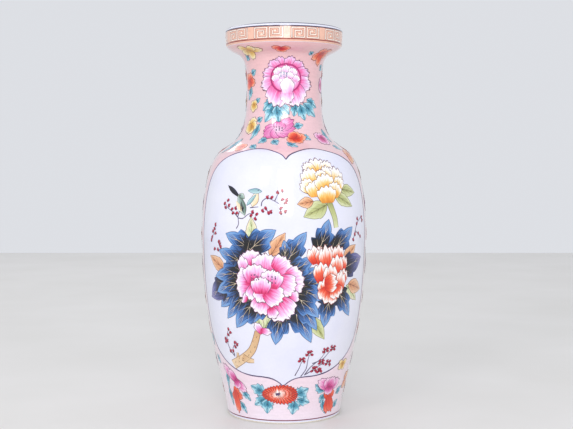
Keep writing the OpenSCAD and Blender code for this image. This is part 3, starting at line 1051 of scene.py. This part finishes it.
for base, edge, width in YELLOW_PETALS:
    petal("yellow", "plum_line" if edge[1] > 5 else "brown_line", YELLOW, base, edge,
          width * YELLOW_FULLNESS, frill=0.08, outline=0.65, shade=fade(0.1 if edge[0] < -15 else -0.05))
print("smaller peonies:", len(CORAL_PETALS), "and", len(YELLOW_PETALS), "petals")

# %% [markdown]
# ## Leaves of the panel
# Peony leaves in dark cobalt crowd round the flowers: almost black at the heel, where two coats
# overlap, and sky blue at the tips, with fine veins scratched in cream. They start well inside the
# flowers, so no white shows between a flower and its leaves. Smaller leaves in amber, olive and
# violet fill the gaps.

# %% Laying the leaves
TUCK = -0.28
DUSK_WIDTH = 36
BLUE_LEAVES = [
    ((-23, 270), (-42, 294), 36, 3), ((-22, 269), (-5, 301), 38, -3), ((-28, 249), (-49, 268), 34, 2),
    ((-30, 233), (-54, 227), 35, 2), ((-30, 220), (-53, 203), 34, 2), ((-31, 208), (-50, 180), 36, 3),
    ((-20, 190), (-36, 150), 38, 3), ((3, 254), (15, 298), 32, -2), ((4, 240), (20, 260), 32, 2),
    ((24, 276), (31, 316), 32, 2), ((35, 274), (53, 303), 34, 2), ((9, 231), (24, 243), 28, 2),
    ((11, 216), (31, 228), 34, 2), ((11, 210), (27, 195), 30, -2), ((8, 200), (25, 168), 34, -2),
    ((5, 182), (20, 129), 34, -3), ((-1, 174), (-6, 127), 34, 2), ((34, 196), (30, 152), 33, 2),
    ((40, 204), (54, 165), 30, -2), ((0, 262), (0, 286), 17, 2), ((-12, 190), (-24, 158), 26, 2),
    ((-26, 200), (-44, 163), 30, 3), ((9, 190), (24, 148), 28, -2),
]
for start, end, width, bend in BLUE_LEAVES:
    spot, tip = between(start, end)
    leaf("blue_leaf", spot, np.multiply(tip, TUCK), tip, width, "cream_line", "navy_line", bend, notch=0.5)
DUSK_LEAVES = [((46, 242), (66, 255)), ((-46, 213), (-62, 193))]
for start, end in DUSK_LEAVES:
    spot, tip = between(start, end)
    leaf("dusk_leaf", spot, np.multiply(tip, TUCK), tip, DUSK_WIDTH, "cream_line", "navy_line", lobes=2,
         veins=2, vein=0.5)
SMALL_LEAVES = [
    ("amber_leaf", "brown_line", (-9, 262), (1, 297), 20),
    ("amber_leaf", "brown_line", (-43, 238), (-60, 258), 20),
    ("amber_leaf", "brown_line", (44, 254), (57, 275), 20),
    ("amber_leaf", "brown_line", (50, 216), (68, 204), 22),
    ("pale_leaf", "olive_line", (48, 214), (62, 188), 18),
    ("olive_leaf", "olive_line", (19, 169), (31, 133), 20),
    ("olive_leaf", "olive_line", (43, 361), (59, 355), 18),
    ("olive_leaf", "olive_line", (37, 353), (54, 334), 18),
    ("olive_leaf", "olive_line", (30, 338), (13, 320), 26),
    ("amber_leaf", "brown_line", (20, 343), (9, 339), 16),
    ("pale_leaf", "olive_line", (-21, 280), (-22, 320), 19),
    ("pale_leaf", "olive_line", (-14, 150), (-8, 178), 15),
    ("pale_leaf", "olive_line", (-16, 150), (-20, 178), 13),
]
for paint, line, start, end, width in SMALL_LEAVES:
    spot, tip = between(start, end)
    leaf(paint, spot, (0, 0), tip, width, line, line, lobes=2, notch=0.12, shade=margin_shade)
print("leaves:", len(BLUE_LEAVES) + len(DUSK_LEAVES) + len(SMALL_LEAVES))

# %% [markdown]
# ## Stems, the old branch, twigs and berries
# The flowers grow from one old branch, painted in ochre with a brown edge and a few knots. Fine
# twigs with crimson buds come out between the leaves. Some buds end in a berry, a dot of thick
# enamel: one small dome is repeated by a tree, at points that carry their own size.

# %% Stems and branch
ACROSS = 2.2


def limb(paint, line, places, width, end_width, lift):
    """A thick painted stem with a darker line down each side. Places are (azimuth, way)."""
    way = flow(np.array(places, float) * (ACROSS, 1), 3.0) / (ACROSS, 1)
    laid = np.c_[np.radians(way[:, 0]), way[:, 1] * MM]
    taper = np.linspace(width, end_width, len(laid))
    ribbon(sheets[line], laid, taper + 1.5, lift=lift - 0.02)
    ribbon(sheets[paint], laid, taper, lift=lift)


LIMBS = [
    ("olive_leaf", "olive_line", [(31, 347), (33.5, 333), (36, 318), (37, 303)], 9, 7, 0.18),
    ("bark", "brown_line", [(-34, 104), (-29, 100), (-24, 99)], 11, 5, 0.17),
    ("bark", "brown_line", [(-39, 100), (-38.5, 110)], 5, 2.5, 0.17),
    ("bark", "brown_line", [(-19, 147), (-21.5, 131), (-25.5, 115), (-34, 101), (-45, 89)], 8.5, 14, 0.19),
]
for each in LIMBS:
    limb(*each)
KNOTS = [(-20, 138), (-23, 131), (-22, 122), (-26, 114), (-28, 108), (-34, 102), (-38, 96), (-42, 94),
         (-37, 103), (-41, 88)]
for azimuth, way in KNOTS:
    knot = Spot(azimuth, way, turn=rng.uniform(0, 180))
    stroke(sheets["brown_line"], knot, [(-1.6, -0.6), (0, 0.8), (1.8, 0)], 0.9, 0.3, lift=0.21)
CUP = Spot(-15, 151)
new_flower("rose")
petal("rose", "plum_line", CUP, (-2, -5), (-12, 9), 11, lobes=2)
petal("rose", "plum_line", CUP, (-2, -2), (12, -5), 10, lobes=2)
print("stems:", len(LIMBS), "knots:", len(KNOTS))

# %% Twigs
TWIGS = [
    [(-33, 302), (-31.3, 309), (-32, 321)], [(-32, 319), (-35, 325), (-41, 333), (-43, 338)],
    [(-32, 320), (-31, 328), (-32.5, 334)], [(-32, 318), (-28, 317.5), (-24, 324), (-20, 325)],
    [(-23, 333.5), (-17, 335)], [(-15, 336), (-14.5, 343), (-11, 348), (-6, 343.5), (-2, 338)],
    [(-6, 344), (-4, 354)], [(-12, 332), (-9.5, 326)], [(-2, 333), (-2.5, 325)],
    [(-53, 304), (-55, 295), (-57, 283)], [(-50, 281), (-48, 272)], [(54, 283), (59, 306), (66, 317)],
    [(57, 296), (63, 288)], [(-42, 103), (-46, 112), (-48, 123), (-48, 132), (-46, 143)],
    [(-42, 105), (-43, 115), (-40, 124)], [(9, 77), (12, 88), (14, 99)],
    [(14, 75), (18, 87), (19, 101), (20, 110)], [(17, 77), (22, 90), (29, 100), (34, 112)],
    [(23, 95), (32, 101), (37, 110), (41, 117)], [(18, 78), (25, 86), (31, 92), (38, 94)],
]
for twig in TWIGS:
    way = flow(np.array(twig, float) * (ACROSS, 1), 2.0) / (ACROSS, 1)
    ribbon(sheets["twig"], np.c_[np.radians(way[:, 0]), way[:, 1] * MM], np.linspace(1.5, 0.8, len(way)))
print("twigs:", len(TWIGS))

# %% Buds on the twigs
BUDS = [
    (-41, 344), (-44, 339), (-40, 336), (-43, 333), (-37, 331), (-34, 332), (-36, 325), (-33, 325),
    (-11, 349), (-8, 349), (-12, 333), (-14, 329), (-10, 326), (-8.5, 327.5), (-2, 333), (-2, 326),
    (1, 328), (-21, 327), (-18, 324), (-22, 322), (-19, 317), (-4, 356), (-1, 359), (-1, 346), (2, 345),
    (1, 341), (-53, 306), (-54, 300), (-56, 296), (-53, 293), (-57, 287), (-58, 282), (-49, 281),
    (-48, 277), (-47, 273), (-54, 269), (-50, 268), (60, 314), (67, 316), (68, 311), (59, 307),
    (61, 292), (64, 287), (56, 291), (54, 283), (-45, 146), (-43.5, 141), (-46, 137), (-50, 130),
    (-48, 127), (-50, 125), (-40, 126), (-38, 123), (-40, 119), (-43, 112), (-46, 111),
]
SPRAY_HEADS = [(14, 101), (20, 111), (34, 114), (41, 116), (31, 95), (38, 93), (25, 85), (30, 82)]

SPRAY_TURNS = (-110, -35, 35, 110)
BERRY_SHARE = 0.6


def bud(azimuth, way, turn, size=1.0):
    """One crimson bud, a drop with its point at the twig."""
    place = Spot(azimuth, way, size, turn)
    new_flower("crimson")
    petal("crimson", "plum_line", place, (0, -2.2), (0, 2.7), 3.6, lobes=1, frill=0, outline=0.3)
    if rng.random() < BERRY_SHARE:
        dots(place, [(2.4, 1.6)], 0.9, "berry")


for azimuth, way in BUDS:
    bud(azimuth, way, rng.uniform(-60, 60))
for azimuth, way in SPRAY_HEADS:
    for turn in SPRAY_TURNS:
        place = Spot(azimuth, way, turn=turn + rng.uniform(-15, 15))
        laid = place.lay((0, rng.uniform(2.6, 4.6)))
        bud(math.degrees(laid[0]), laid[1] / MM, place.turn, 0.95)
print("buds:", len(BUDS) + len(SPRAY_HEADS) * len(SPRAY_TURNS))

# %% [markdown]
# ## Two birds
# A long-tailed bird sits on the twig with its back turned, and a paler one behind it looks back.

# %% Painting the birds
def feather(paint, start, end, width, lift, line=None):
    """One stroke-shaped patch between two places on the wall."""
    spot, tip = between(start, end)
    shape = leaf_shape((0, 0), tip, width, notch=0.0, heel=0.9)
    fill(sheets[paint], spot, shape, lambda t, u: np.clip(0.5 + 0.5 * u, 0, 1), lift=lift)
    if line:
        trace(sheets[line], spot, shape, rim_of(7), 1.0, lift=lift - 0.01, count=29)


FEATHERS = [
    ("bird_cream", (-18, 358), (-21.5, 335), 12.0, 0.24, "brown_line"),
    ("bird_teal", (-25, 359), (-15, 358), 7.5, 0.27, "teal_line"),
    ("bird_teal", (-19, 353), (-25.5, 337), 5.0, 0.30, "teal_line"),
    ("ink", (-30.5, 348), (-42.5, 367), 7.5, 0.30),
    ("bird_grey", (-32.5, 352), (-26.5, 322), 13.0, 0.33, "olive_line"),
    ("bird_cream", (-34, 343), (-29, 327), 7.0, 0.36),
    ("ink", (-30, 344), (-27.5, 324), 2.6, 0.38),
]
FEATHERS += [("ink", (-30.6 + 0.9 * k, 343 - 2 * k), (-29.6 + 0.7 * k, 327 + k), 1.0, 0.40)
             for k in range(4)]
FEATHERS += [("bird_grey", (-27.5, 347), (-31.5, 354), 8.0, 0.42, "olive_line")]
for each in FEATHERS:
    feather(*each)
for eye in ((-30.5, 352), (-17.5, 359.5)):
    dots(Spot(*eye), [(0, 0)], 0.8, "anther")
print("strokes in the birds:", len(FEATHERS))

# %% [markdown]
# ## Flowers strewn on the pink
# The pink ground carries single flowers with turquoise leaves, cut off wherever the next motif
# starts. They were painted after the panels, wherever room was left, so they follow no grid. Each
# one is written as its heart and the tips of its petals, both as places on the wall.

# %% Words for loose flowers
def open_flower(paint, line, heart, tips, width, shade=fade()):
    """A flower seen aslant: one petal from its heart to each tip."""
    new_flower(paint)
    for tip in tips:
        spot, reach = between(heart, tip)
        petal(paint, line, spot, (0, 0), reach, width, lobes=3, outline=0.55, shade=shade)


def loose_leaf(start, end, width):
    """One turquoise leaf, light inside with a dark midrib, veins and rim."""
    spot, tip = between(start, end)
    leaf("teal_leaf", spot, (0, 0), tip, width, "teal_line", "teal_line", notch=0.45, edge=0.9,
         shade=lambda t, u: np.clip(0.35 + 0.5 * np.abs(u) + 0.25 * np.cos(9 * t), 0, 1))


# %% [markdown]
# ## The peony on the neck
# One flower fills the front of the neck. Its cup is a pale bowl with a crimson rim and blue-grey
# stamens, and the outer petals spread round it in two tiers.

# %% Neck peony
NECK = Spot(3, 552)
NECK_PETALS = [
    ((-6, 14), (-11, 32), 19), ((5, 14), (9, 33), 19), ((15, 12), (25, 25), 19),
    ((-12, 10), (-24, 26), 20), ((-12, 2), (-36, 9), 24), ((14, 4), (38, 9), 22),
    ((14, -6), (42, -11), 24), ((-14, -6), (-39, -12), 24), ((-7, -12), (-18, -42), 38),
    ((8, -12), (19, -41), 38), ((0, -14), (3, -39), 20),
]
COATS_IN_BOWL = 14
new_flower("rose")
for base, edge, width in NECK_PETALS:
    petal("rose", "plum_line", NECK, base, edge, width, ticks=2,
          shade=fade(0.0, 0.74 if edge[1] > 0 else 0.88))
BOWL = [("magenta", 24.2, 0.28, 0.12, 0.12), ("rose", 21.8, 0.30, 0.36, 1.0)]
for paint, reach, coat, deep, light in BOWL:
    bowl = round_shape((0, 0), reach, reach * 0.96)
    fill(sheets[paint], NECK, bowl, rows=19, cols=17, lift=PETAL_LIFT + coat,
         shade=lambda t, u, deep=deep, light=light: light + (deep - light) * np.hypot(
             2 * t - 1, u * np.sqrt(np.clip(1 - (2 * t - 1) ** 2, 0, 1))) ** 2)
sheets["rose"].laid = COATS_IN_BOWL
BOWL_PETALS = [
    ((-10, 4), (-13, 16), 15), ((0, 6), (1, 19), 15), ((9, 4), (12, 15), 14), ((-14, -4), (-18, 5), 12),
    ((14, -4), (18, 4), 12), ((-4, 0), (-6, 10), 12), ((5, 0), (7, 9), 12),
]
for base, edge, width in BOWL_PETALS:
    petal("rose", "plum_line", NECK, base, edge, width, outline=0.4, shade=fade(0.5, 1.0))
petal("rose", "plum_line", NECK, (2, -21), (2, 0), 22, lobes=1, outline=0.4, shade=fade(0.45, 1.0))
dots(NECK, [(-3 + 5 * math.sin(k * 2.1), 5 + 3.5 * math.cos(k * 1.3)) for k in range(15)], 1.0,
     "grey_blue")
NECK_LEAVES = [
    ((-11, 514), (-28, 484), 20), ((-11, 510), (-7, 483), 16), ((-6, 514), (8, 496), 15),
    ((30, 514), (52, 493), 18), ((24, 512), (31, 487), 17), ((18, 514), (14, 493), 14),
    ((36, 520), (56, 508), 13), ((-16, 520), (-32, 502), 14),
]
for start, end, width in NECK_LEAVES:
    loose_leaf(start, end, width)
print("neck peony:", len(NECK_PETALS) + len(BOWL_PETALS) + 1, "petals,", len(NECK_LEAVES), "leaves")

# %% [markdown]
# ## Loose flowers on the mouth, neck and shoulder
# Mustard lilies and red and magenta blossoms fill the neck. On the shoulder an open magenta flower
# leans on a red one just over the notch of the panel.

# %% Neck and shoulder flowers
LOOSE_FLOWERS = [
    ("mustard", "brown_line", (-44, 601), [(-57, 612), (-60, 594), (-26, 602), (-35, 610),
                                           (-48, 583)], 13),
    ("scarlet", "red_line", (-3, 602), [(-13, 607), (-8, 596), (2, 595), (7, 605)], 10),
    ("scarlet", "red_line", (57, 594), [(50, 606), (67, 606), (43, 583), (70, 592), (58, 574)], 13),
    ("scarlet", "red_line", (-62, 549), [(-74, 560), (-60, 562), (-49, 546), (-70, 537)], 13),
    ("mustard", "brown_line", (-50, 512), [(-56, 517), (-46, 519), (-58, 506), (-44, 506),
                                           (-52, 501)], 8),
    ("magenta", "plum_line", (74, 545), [(66, 548), (70, 534), (80, 533), (85, 545), (77, 556)], 13),
    ("mustard", "plum_line", (-50, 478), [(-58, 487), (-46, 492), (-40, 480), (-50, 465),
                                          (-60, 471)], 15),
    ("scarlet", "red_line", (-45, 434), [(-52, 436), (-48, 442), (-39, 439), (-41, 428), (-49, 427)], 12),
    ("magenta", "plum_line", (-7, 473), [(-26, 470), (-25, 459), (-12, 456), (5, 460), (14, 474),
                                         (12, 487), (-4, 484)], 19, fade(1.0, 0.56)),
    ("scarlet", "red_line", (13, 457), [(5, 447), (20, 446), (26, 458), (17, 467), (7, 466)], 15),
    ("magenta", "plum_line", (50, 455), [(41, 464), (52, 466), (60, 456), (55, 443), (43, 445)], 15),
    ("orange", "red_line", (71, 417), [(75, 429), (64, 420), (67, 402), (78, 408)], 16),
]
for each in LOOSE_FLOWERS:
    open_flower(*each)
dots(Spot(-6, 473), [(5 * math.sin(k * 2.1), 3 * math.cos(k * 1.3)) for k in range(9)], 1.0, "anther")
LOOSE_LEAVES = [
    ((-58, 540), (-66, 520), 12), ((-57, 560), (-46, 566), 10), ((-46, 516), (-38, 522), 7),
    ((-40, 486), (-32, 492), 9), ((-36, 482), (-42, 452), 11), ((-56, 456), (-70, 420), 13),
    ((-20, 456), (-28, 444), 12), ((-12, 452), (-6, 440), 12), ((14, 477), (27, 480), 10),
    ((22, 462), (32, 452), 11), ((3, 446), (14, 434), 11), ((60, 474), (66, 448), 10),
    ((-34, 440), (-26, 430), 10), ((58, 440), (66, 428), 11), ((66, 574), (76, 568), 10),
    ((80, 550), (92, 556), 10), ((-56, 590), (-64, 582), 9), ((40, 590), (34, 596), 8),
]
for start, end, width in LOOSE_LEAVES:
    loose_leaf(start, end, width)
print("neck and shoulder:", len(LOOSE_FLOWERS), "flowers,", len(LOOSE_LEAVES), "leaves")

# %% [markdown]
# ## Flowers round the foot
# A flat coral daisy lies under the cusp of the panel with three leaves on each side. Magenta tulips
# and coral buds stand between it and the daisy of the other panel.

# %% Foot flowers
DAISY = Spot(-3, 46)
DAISY_PETALS = 30
RAY_STEP = 0.012


def ray_shade(t, u):
    """White at the heart and along the middle of the petal, coral at its sides and its end."""
    return np.clip(1.25 - 0.95 * t - 0.3 * np.abs(u), 0, 1)


for k in range(DAISY_PETALS):
    angle = 2 * math.pi * k / DAISY_PETALS
    reach = 1 + 0.05 * math.sin(3 * angle)
    edge = (27 * math.sin(angle) * reach, 15.5 * math.cos(angle) * reach)
    petal("coral", "red_line", DAISY, (-4, 1), edge, 5.8, lobes=1, frill=0.02, outline=0.45,
          shade=ray_shade, tuck=0.0, lift=PETAL_LIFT + RAY_STEP * k)
dots(DAISY, [(-4 + 0.26 * k * math.sin(k * 2.4), 1 + 0.16 * k * math.cos(k * 2.4)) for k in range(13)],
     1.1, "anther")
FOOT_FLOWERS = [
    ("magenta", "plum_line", (-46, 62), [(-61, 85), (-54, 78), (-36, 47), (-44, 50)], 14),
    ("coral", "red_line", (-50, 42), [(-53, 28), (-42, 34), (-46, 50), (-49, 10)], 13, fade(0.1, 0.6)),
    ("magenta", "plum_line", (44, 52), [(31, 65), (57, 61), (40, 67), (49, 67), (44, 40)], 17),
    ("coral", "red_line", (46, 34), [(41, 48), (50, 47), (45, 10), (52, 11)], 15, fade(0.1, 0.55)),
    ("mustard", "brown_line", (57, 86), [(52, 92), (63, 92), (60, 78), (52, 80)], 9),
    ("orange", "red_line", (73, 56), [(80, 68), (70, 68), (68, 44), (77, 44)], 12),
]
for each in FOOT_FLOWERS:
    open_flower(*each)
FOOT_LEAVES = [
    ((-17, 48), (-30, 58), 19), ((-16, 40), (-28, 26), 17), ((-15, 38), (-16, 14), 18),
    ((11, 44), (22, 55), 19), ((12, 38), (24, 31), 17), ((10, 36), (8, 13), 18),
    ((-57, 74), (-60, 46), 9), ((-60, 48), (-57, 18), 8), ((-40, 48), (-32, 32), 10),
    ((-45, 28), (-38, 10), 9), ((38, 46), (28, 60), 14), ((39, 42), (35, 28), 11),
    ((38, 32), (43, 9), 10), ((56, 38), (65, 48), 10), ((55, 16), (62, 27), 10),
    ((-72, 98), (-66, 84), 10), ((-76, 132), (-74, 112), 12),
]
for start, end, width in FOOT_LEAVES:
    loose_leaf(start, end, width)
print("foot:", len(FOOT_FLOWERS) + 1, "flowers,", len(FOOT_LEAVES), "leaves")

# %% [markdown]
# ## The strips between the panels
# Two narrow strips of pink run up the sides between the panels. A chain of smaller flowers climbs
# each one, with a leaf above and below every flower, and the pink next to the panels stays plain.

# %% Side strips
SIDE_FLOWERS = [
    ("scarlet", "red_line", (90, 38), 11), ("magenta", "plum_line", (91, 86), 14),
    ("coral", "red_line", (89, 138), 15), ("mustard", "brown_line", (91, 186), 12),
    ("rose", "plum_line", (90, 238), 17), ("scarlet", "red_line", (91, 288), 13),
    ("magenta", "plum_line", (89, 338), 16), ("yellow", "brown_line", (90, 386), 14),
    ("scarlet", "red_line", (91, 430), 12), ("rose", "plum_line", (93, 476), 13),
    ("mustard", "brown_line", (93, 520), 9), ("scarlet", "red_line", (92, 562), 9),
]
SIDE_PETALS = 7
for paint, line, (azimuth, way), reach in SIDE_FLOWERS:
    new_flower(paint)
    lean = rng.uniform(-0.4, 0.4)
    for k in range(2):
        angle = lean + math.pi * k
        across, up = math.sin(angle), math.cos(angle)
        spot = Spot(azimuth, way)
        start = spot.near(0.7 * reach * across, 0.7 * reach * up)
        end = spot.near(1.8 * reach * across, 1.8 * reach * up)
        loose_leaf((start.azimuth, start.way), (end.azimuth, end.way), reach * 0.8)
    for tier, far, wide in ((0, 1.0, 0.95), (1, 0.55, 0.6)):
        for k in range(SIDE_PETALS - 2 * tier):
            angle = lean + 2 * math.pi * (k + 0.5 * tier) / (SIDE_PETALS - 2 * tier)
            edge = reach * far * np.array((math.sin(angle), 0.85 * math.cos(angle)))
            petal(paint, line, Spot(azimuth, way), edge * 0.1, edge, reach * wide, lobes=3, outline=0.5,
                  shade=fade(0.1, 0.95))
    hearts = [(2.6 * math.sin(k * 2.1), 2 * math.cos(k * 1.3)) for k in range(7)]
    dots(Spot(azimuth, way), hearts, 0.9, "anther")
print("each side strip:", len(SIDE_FLOWERS), "flowers")

# %% [markdown]
# ## Scattering the dots
# Stamens and berries are one small dome each. The tree puts the dome at every point, makes it as
# broad as the point says, and allows for the wall's radius there, so the dots stay round.

# %% The dot and its tree
def dome(name):
    """A flat-drawn dome of radius one: eight sides, two rings."""
    rim = [(math.sin(k * math.pi / 4), math.cos(k * math.pi / 4)) for k in range(8)]
    points = [(0, 0, 1)] + [(0.6 * x, 0.6 * y, 0.8) for x, y in rim] + [(x, y, 0.2) for x, y in rim]
    faces = [(0, 1 + (k + 1) % 8, 1 + k) for k in range(8)]
    faces += [(1 + k, 1 + (k + 1) % 8, 9 + (k + 1) % 8, 9 + k) for k in range(8)]
    made = bpy.data.meshes.new(name)
    made.from_pydata(points, [], faces)
    layer = made.attributes.new("brush", "FLOAT_VECTOR", "POINT")
    shades = [(0.9, 0, 0.5)] + [(0.5, 0, 0.5)] * 8 + [(0.1, 0, 0.5)] * 8
    layer.data.foreach_set("vector", np.array(shades, np.float32).ravel())
    thing = bpy.data.objects.new(name, made)
    bpy.context.scene.collection.objects.link(thing)
    return thing


def scatter_tree():
    """Puts the dot at the drawing's points, at their own size."""
    tree, given, result = new_tree("scatter_dots", Dot=("Object", None), Height=("Float", 0.3 * MM),
                                   **COMMON)
    outline = add(tree, "GeometryNodeObjectInfo", {"Object": given["Wall"]}).outputs["Geometry"]
    flat = parts_of(tree, add(tree, "GeometryNodeInputPosition").outputs[0])
    sample = add(tree, "GeometryNodeSampleCurve", {"Curves": outline, "Length": flat[1]}, mode="LENGTH")
    reach = parts_of(tree, sample.outputs["Position"])[0]
    size = add(tree, "GeometryNodeInputNamedAttribute", {"Name": "size"}, data_type="FLOAT").outputs[0]
    scale = vector_of(tree, calc(tree, "DIVIDE", size, reach), size, given["Height"])
    dot = add(tree, "GeometryNodeObjectInfo", {"Object": given["Dot"]}).outputs["Geometry"]
    put = add(tree, "GeometryNodeInstanceOnPoints", {"Points": given["Geometry"], "Instance": dot,
                                                     "Scale": scale}).outputs[0]
    real = add(tree, "GeometryNodeRealizeInstances", {"Geometry": put}).outputs[0]
    return finish_tree(tree, real, given, result)


# %% Laying every sheet on the wall
SCATTER = scatter_tree()
DOT = dome("dot_of_paint")
DOT_HEIGHTS = {"berry": 0.6, "anther": 0.95, "grey_blue": 0.95}
STREAKS = {"blue_leaf": 0.26, "dusk_leaf": 0.26, "teal_leaf": 0.22}
materials = {paint: enamel(paint + "_enamel", [(place, colour(*shade)) for place, shade in stops],
                           streak=STREAKS.get(paint, 0.03 if paint.endswith("_line") else 0.16))
             for paint, (slot, stops) in PALETTE.items()}
for kind, places in DOTS.items():
    both = [(azimuth + math.radians(turn), way, DOT_HEIGHTS[kind] * MM) for turn in FRONT_AND_BACK
            for azimuth, way, size in places]
    cloud = bpy.data.meshes.new(kind + "_points")
    cloud.from_pydata(both, [], [])
    sizes = cloud.attributes.new("size", "FLOAT", "POINT")
    sizes.data.foreach_set("value", np.tile([size for *_, size in places], 2).astype(np.float32))
    run_tree(kind + "_dots", cloud, SCATTER, PALETTE[kind][0], Wall=OUTSIDE, Side=1.0, Turn=0.0, Dot=DOT,
             Base=LINE_BASE, Material=materials[kind])
for paint, sheet in sheets.items():
    if sheet.count:
        sheet.paint(paint + "_work", materials[paint], PALETTE[paint][0], FRONT_AND_BACK)
bpy.data.objects.remove(DOT)
print("dots on each side:", sum(len(places) for places in DOTS.values()))

# %% [markdown]
# ## The clay where it shows
# Most of the clay is under glaze, but the foot ring is wiped bare before firing, and it stays matt
# and slightly sandy. The slip between the sections fires a shade greyer than the body. These parts
# keep the shape they came with and only get their finish.

# %% Bare clay, slip and the glaze of the foot hollow
def bare_clay(name, base, grain, spots):
    """Unglazed fired clay: fine grain, iron spots and no gloss."""
    material, tree, surface = shader(name, 0.75)
    place = add(tree, "ShaderNodeTexCoord").outputs["Object"]
    shade = ramp(tree, noise(tree, place, 700.0, 6.0), [(0.3, grain), (0.6, base)])
    fleck = spread(tree, noise(tree, place, 1500.0, 2.0), -2.6, 1.0)
    mixed = add(tree, "ShaderNodeMix", {0: fleck, 6: shade, 7: spots}, data_type="RGBA")
    tree.links.new(mixed.outputs[2], surface.inputs["Base Color"])
    tree.links.new(spread(tree, noise(tree, place, 900.0), 0.62, 0.88), surface.inputs["Roughness"])
    relief(tree, surface, place, 1200.0, 0.0002)
    return material


def refinish(node, material):
    """Gives a CAD part a new finish in every slot it has."""
    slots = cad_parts[node].material_slots
    for place in slots:
        place.material = material
    if not slots:
        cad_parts[node].data.materials.append(material)


biscuit = bare_clay("bare_biscuit", colour(238, 232, 222), colour(222, 212, 198), colour(150, 110, 80))
slip = bare_clay("luting_slip", colour(214, 206, 196), colour(196, 186, 176), colour(120, 100, 84))
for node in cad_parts:
    if node.endswith("_section"):
        refinish(node, biscuit)
    if node.endswith("_slip_joint"):
        refinish(node, slip)
refinish("foot_hollow_glaze", clear_glaze)

# %% [markdown]
# ## Floor, light and camera
# The vase stands on a wide pale floor. The light is a studio's version of a bright room: a window
# high on the left, a tall soft panel behind the camera, a weaker one behind the vase and an even sky.

# %% Floor
FLOOR_HALF = 3.0
floor_mesh = bpy.data.meshes.new("floor")
floor_mesh.from_pydata([(-FLOOR_HALF, -FLOOR_HALF, 0), (FLOOR_HALF, -FLOOR_HALF, 0),
                        (FLOOR_HALF, FLOOR_HALF, 0), (-FLOOR_HALF, FLOOR_HALF, 0)], [], [(0, 1, 2, 3)])
floor = bpy.data.objects.new("floor", floor_mesh)
bpy.context.scene.collection.objects.link(floor)
floor_paint, tree, surface = shader("pale_floor", 0.55)
place = add(tree, "ShaderNodeTexCoord").outputs["Object"]
shade = ramp(tree, noise(tree, place, 3.0), [(0.3, colour(226, 224, 220)), (0.7, colour(232, 230, 227))])
tree.links.new(shade, surface.inputs["Base Color"])
floor_mesh.materials.append(floor_paint)

# %% Light
sky = bpy.data.worlds.new("even_sky")
bpy.context.scene.world = sky
sky.use_nodes = True
sky.node_tree.nodes["Background"].inputs["Color"].default_value = (0.93, 0.95, 1.0, 1.0)
sky.node_tree.nodes["Background"].inputs["Strength"].default_value = 0.78


def panel_light(name, place, target, width, height, power):
    """A flat soft light at a place, facing a target."""
    data = bpy.data.lights.new(name, "AREA")
    data.shape = "RECTANGLE"
    data.size, data.size_y = width, height
    data.energy = power
    lamp = bpy.data.objects.new(name, data)
    lamp.location = place
    lamp.rotation_euler = (Vector(target) - Vector(place)).to_track_quat("-Z", "Y").to_euler()
    bpy.context.scene.collection.objects.link(lamp)


middle = (0, 0, cad_box[1].z / 2)
panel_light("window", (-1.25, -2.15, 1.75), middle, 0.6, 0.9, 10)
panel_light("soft_front", (0.12, -2.6, 1.3), middle, 0.9, 1.5, 26)
panel_light("soft_back", (-0.6, 2.4, 2.4), middle, 1.6, 1.2, 9)
bpy.context.scene.view_settings.view_transform = "Standard"

# %% Camera
LENS = 65.0
LOOK_DOWN = 2.73
CAMERA_PLACE = (0.004, -1.654, 0.3954)
camera_data = bpy.data.cameras.new("camera")
camera_data.lens = LENS
camera = bpy.data.objects.new("camera", camera_data)
camera.location = CAMERA_PLACE
camera.rotation_euler = (math.radians(90 - LOOK_DOWN), 0, 0)
bpy.context.scene.collection.objects.link(camera)
bpy.context.scene.camera = camera

# %% [markdown]
# ## Closing
# The guide curves have done their work and go.

# %% Removing the guide curves
for guide in (OUTSIDE, INSIDE):
    bpy.data.objects.remove(guide)
